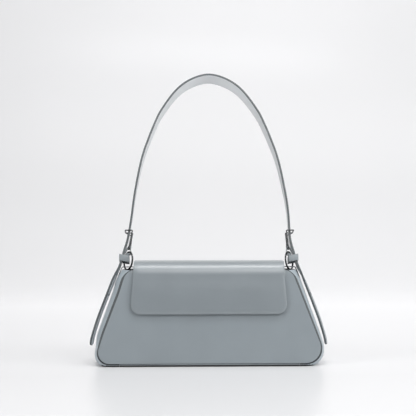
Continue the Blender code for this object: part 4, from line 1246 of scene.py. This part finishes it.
def prong_path(side):
    curl = WIRE_RADIUS + PRONG_RADIUS + PRONG_ROOM
    near = strap_x_at(FRAME_TOP, side) - FRAME_IN
    far = strap_x_at(FRAME_TOP, side) + FRAME_OUT
    path = []
    for k in range(21):
        turn = math.radians(-60 + 240 * k / 20)
        path.append(Vector((HINGE_BAR_X + curl * math.cos(turn), 0,
                            HINGE_BAR_UP - curl * math.sin(turn))))
    tip_up = FRAME_TOP - WIRE_RADIUS - PRONG_RADIUS - PRONG_ROOM
    hole_x = strap_x_at(HOLE_UP, side)
    rise = (tip_up - HOLE_UP) / (far - hole_x)
    bend_x = near + (HINGE_BAR_X - near) * (FRAME_TOP - HOLE_UP) / (FRAME_TOP - HINGE_BAR_UP)
    bend_up = HOLE_UP - rise * (hole_x - bend_x)
    stem = Vector((HINGE_BAR_X - curl, 0, HINGE_BAR_UP))
    tip = Vector((far, 0, tip_up))
    path += fillet(stem, Vector((bend_x, 0, bend_up)), tip, FRAME_CORNER, 8)
    path += [path[-1].lerp(tip, k / 6) for k in range(1, 7)]
    return [leaned(p.x, p.y, p.z) for p in path]


def build_metal():
    for name, side in (("right", 1), ("left", -1)):
        short = name[0]
        turn = (lambda pts: pts) if side > 0 else mirrored
        points, faces = wire(turn(ring_path()), RING_WIRE_RADIUS, True, 24)
        piece("ring_metal_" + name, points, faces, [gunmetal], "ring_" + short,
              ["ring_" + name])
        points, faces = wire(turn(frame_path(side)), WIRE_RADIUS, True, 20)
        piece("frame_metal_" + name, points, faces, [gunmetal], "buckle_" + short,
              ["buckle_frame_" + name])
        path = turn(prong_path(side))
        radii = [PRONG_RADIUS] * len(path)
        radii[-1] = PRONG_RADIUS * 0.45
        radii[-2] = PRONG_RADIUS * 0.8
        points, faces = wire(path, PRONG_RADIUS, False, 18, radii)
        piece("prong_metal_" + name, points, faces, [gunmetal], "prong_" + short,
              ["buckle_prong_" + name])


def copy_piece(name, node_name, material, body, width, flat_angle, edge_angle):
    """A CAD node's own shape with its flat faces joined and its edges rounded."""
    node = nodes[node_name]
    points = [node.matrix_world @ v.co for v in node.data.vertices]
    faces = [tuple(f.vertices) for f in node.data.polygons]
    thing = piece(name, points, faces, [material], body, [node_name])
    work = bmesh.new()
    work.from_mesh(thing.data)
    bmesh.ops.remove_doubles(work, verts=work.verts, dist=0.00001)
    bmesh.ops.dissolve_limit(work, angle_limit=math.radians(flat_angle), verts=work.verts,
                             edges=work.edges)
    work.to_mesh(thing.data)
    work.free()
    soften(thing, width, 2, edge_angle)
    return thing


def build_chapes():
    for name in ("right", "left"):
        copy_piece("chape_leather_" + name, "chape_" + name, small_leather_painted_shade, "strap",
                   CHAPE_EDGE_ROUND, 1.0, 50)


def keeper_low(half, span):
    limit = tab_drop() - TAB_THICKNESS - GAP
    corner = math.sqrt(limit * limit - half * half)
    return span / 2 * math.sin(KEEPER_TILT) - corner


def build_keepers():
    inner_x = RING_CENTRE_X + CHAPE_TAIL_OUT - CHAPE_THICKNESS - GAP
    outer_x = strap_x_at(0) + STRAP_THICKNESS / 2 + 2 * GAP
    half = STRAP_END_WIDTH / 2 + KEEPER_SIDE_ROOM
    deep = KEEPER_THICKNESS
    low = keeper_low(half + deep, outer_x - inner_x + 2 * deep)
    high = low + KEEPER_HEIGHT
    middle = (inner_x + outer_x) / 2
    slope = math.tan(KEEPER_TILT)
    soft = KEEPER_EDGE_ROUND
    centres = ((soft, low + soft, 180), (deep - soft, low + soft, 270),
               (deep - soft, high - soft, 0), (soft, high - soft, 90))
    outline = []
    for grow, up, first in centres:
        for k in range(5):
            turn = math.radians(first + 90 * k / 4)
            outline.append((grow + soft * math.cos(turn), up + soft * math.sin(turn)))
    rings = []
    for grow, up in outline:
        corners = [
            Vector((inner_x - grow, -half - grow)), Vector((outer_x + grow, -half - grow)),
            Vector((outer_x + grow, half + grow)), Vector((inner_x - grow, half + grow)),
        ]
        loop = rounded_path(corners, [deep / 2 + grow] * 4, 6, closed=True)
        rings.append([leaned(p.x, p.y, up + (p.x - middle) * slope) for p in loop])
    points, faces = skin(rings, True)
    count = len(rings[0])
    kinds = []
    for i in range(len(rings)):
        kinds += [1 if i < 9 or 10 <= i < 19 else 0] * count
    for name, sign in (("right", 1), ("left", -1)):
        own = points if sign > 0 else mirrored(points)
        piece("keeper_leather_" + name, own, faces, [small_leather_painted_shade, painted], "strap",
              stands_for=["keeper_" + name], picks=kinds)


# Lining and pocket


SMOOTH_AREA = 6e-6


def build_inside():
    for name, node_name in (("lining_cloth_pouch", "body_lining"), ("pocket_cloth", "slip_pocket")):
        thing = copy_piece(name, node_name, twill, "bag", CLOTH_EDGE_ROUND,
                           0.03, 40)
        for face in thing.data.polygons:
            face.use_smooth = face.area < SMOOTH_AREA


def dress_hidden():
    finishes = {"front_board": board, "back_board": board, "base_board": board,
                "panel_magnet": steel, "flap_magnet": steel}
    for name, material in finishes.items():
        nodes[name].data.materials.clear()
        nodes[name].data.materials.append(material)


# Studio


def make_camera():
    data = bpy.data.cameras.new("camera")
    data.sensor_width = 36.0
    data.lens = 36.0 * CAMERA_DISTANCE / PICTURE_WIDTH
    data.clip_start = 0.05
    data.clip_end = 20.0
    camera = add_object("camera", data)
    camera.location = (
        CAMERA_AIM_X + CAMERA_DISTANCE * math.sin(CAMERA_AZIMUTH),
        -CAMERA_DISTANCE * math.cos(CAMERA_AZIMUTH),
        CAMERA_HEIGHT,
    )
    camera.rotation_euler = (math.pi / 2, 0, CAMERA_AZIMUTH)
    bpy.context.scene.camera = camera


def area_light(name, place, aim, size, power):
    data = bpy.data.lights.new(name, "AREA")
    data.shape = "RECTANGLE"
    data.size = size[0]
    data.size_y = size[1]
    data.energy = power
    lamp = add_object(name, data)
    lamp.location = place
    lamp.rotation_euler = (Vector(aim) - Vector(place)).to_track_quat("-Z", "Y").to_euler()


def build_stage():
    """Floor and backdrop in one sweep; cameras and mirrors see it a little brighter, by painted
    light that grows towards the back and to the right.
    """
    profile = [(SWEEP_FRONT, 0.0), (SWEEP_FLAT, 0.0)]
    for k in range(1, 25):
        turn = math.pi / 2 * k / 24
        profile.append((SWEEP_FLAT + SWEEP_RADIUS * math.sin(turn),
                        SWEEP_RADIUS * (1 - math.cos(turn))))
    profile.append((SWEEP_FLAT + SWEEP_RADIUS, SWEEP_HEIGHT))
    points = []
    faces = []
    for y, z in profile:
        points += [(-SWEEP_HALF_WIDTH, y, z), (SWEEP_HALF_WIDTH, y, z)]
    for k in range(len(profile) - 1):
        faces.append((2 * k, 2 * k + 1, 2 * k + 3, 2 * k + 2))
    data = bpy.data.meshes.new("sweep")
    data.from_pydata(points, [], faces)
    smooth_all(data)
    sweep = add_object("sweep", data)
    n = Nodes("sweep_paper")
    n.put(Base_Color=(0.72, 0.72, 0.73, 1), Roughness=0.27, Specular_IOR_Level=0.25,
          Emission_Color=(0.99, 0.99, 1.0, 1))
    place = n.add("ShaderNodeSeparateXYZ")
    n.link(n.where, "Object", place, "Vector")
    # Painted light: the glow grows from the front of the floor to the back wall, and from left to
    # right
    depth = n.span(place, "Y", -0.1, 0.75, 0.0, 0.25)
    across = n.span(place, "X", -0.55, 0.55, -0.004, 0.022)
    seen = n.add("ShaderNodeLightPath")
    painted_backdrop_light = n.math("ADD", depth.outputs["Result"], across.outputs["Result"])
    rays = n.math("ADD", seen.outputs["Is Camera Ray"], seen.outputs["Is Glossy Ray"])
    rays = n.math("ADD", rays, seen.outputs["Is Transmission Ray"])
    n.tree.links.new(n.math("MULTIPLY", painted_backdrop_light, rays), n.shader.inputs["Emission Strength"])
    data.materials.append(n.material)


def build_world():
    world = bpy.data.worlds.new("world")
    bpy.context.scene.world = world
    world.use_nodes = True
    back = world.node_tree.nodes["Background"]
    back.inputs["Color"].default_value = (0.97, 0.985, 1.0, 1)
    back.inputs["Strength"].default_value = 0.05


make_camera()
build_front()
build_back_and_flap()
build_flap_lining()
build_flap_board()
build_base()
build_gussets()
build_tabs()
build_strap()
build_metal()
build_chapes()
build_keepers()
build_inside()
dress_hidden()
build_stage()
build_world()
# Name, place, aim, size and power of each lamp
LAMPS = (
    ("top", (0.1, -0.38, 1.54), (0.0, 0.0, 0.10), (1.2, 0.35), 14.5),
    ("key", (0.30, -1.06, 1.12), (0.0, 0.0, 0.10), (1.1, 0.45), 7.0),
    ("left", (-1.15, -0.72, 0.55), (0.0, 0.0, 0.10), (0.5, 0.9), 8.0),
    ("right", (1.20, -0.62, 0.45), (0.0, 0.0, 0.14), (0.5, 0.8), 9.0),
    ("back_wash", (0.4, 0.6, 1.9), (0.3, 1.5, 0.4), (2.2, 0.8), 10.5),
)
for lamp in LAMPS:
    area_light(*lamp)
bpy.context.scene.view_settings.view_transform = "Standard"
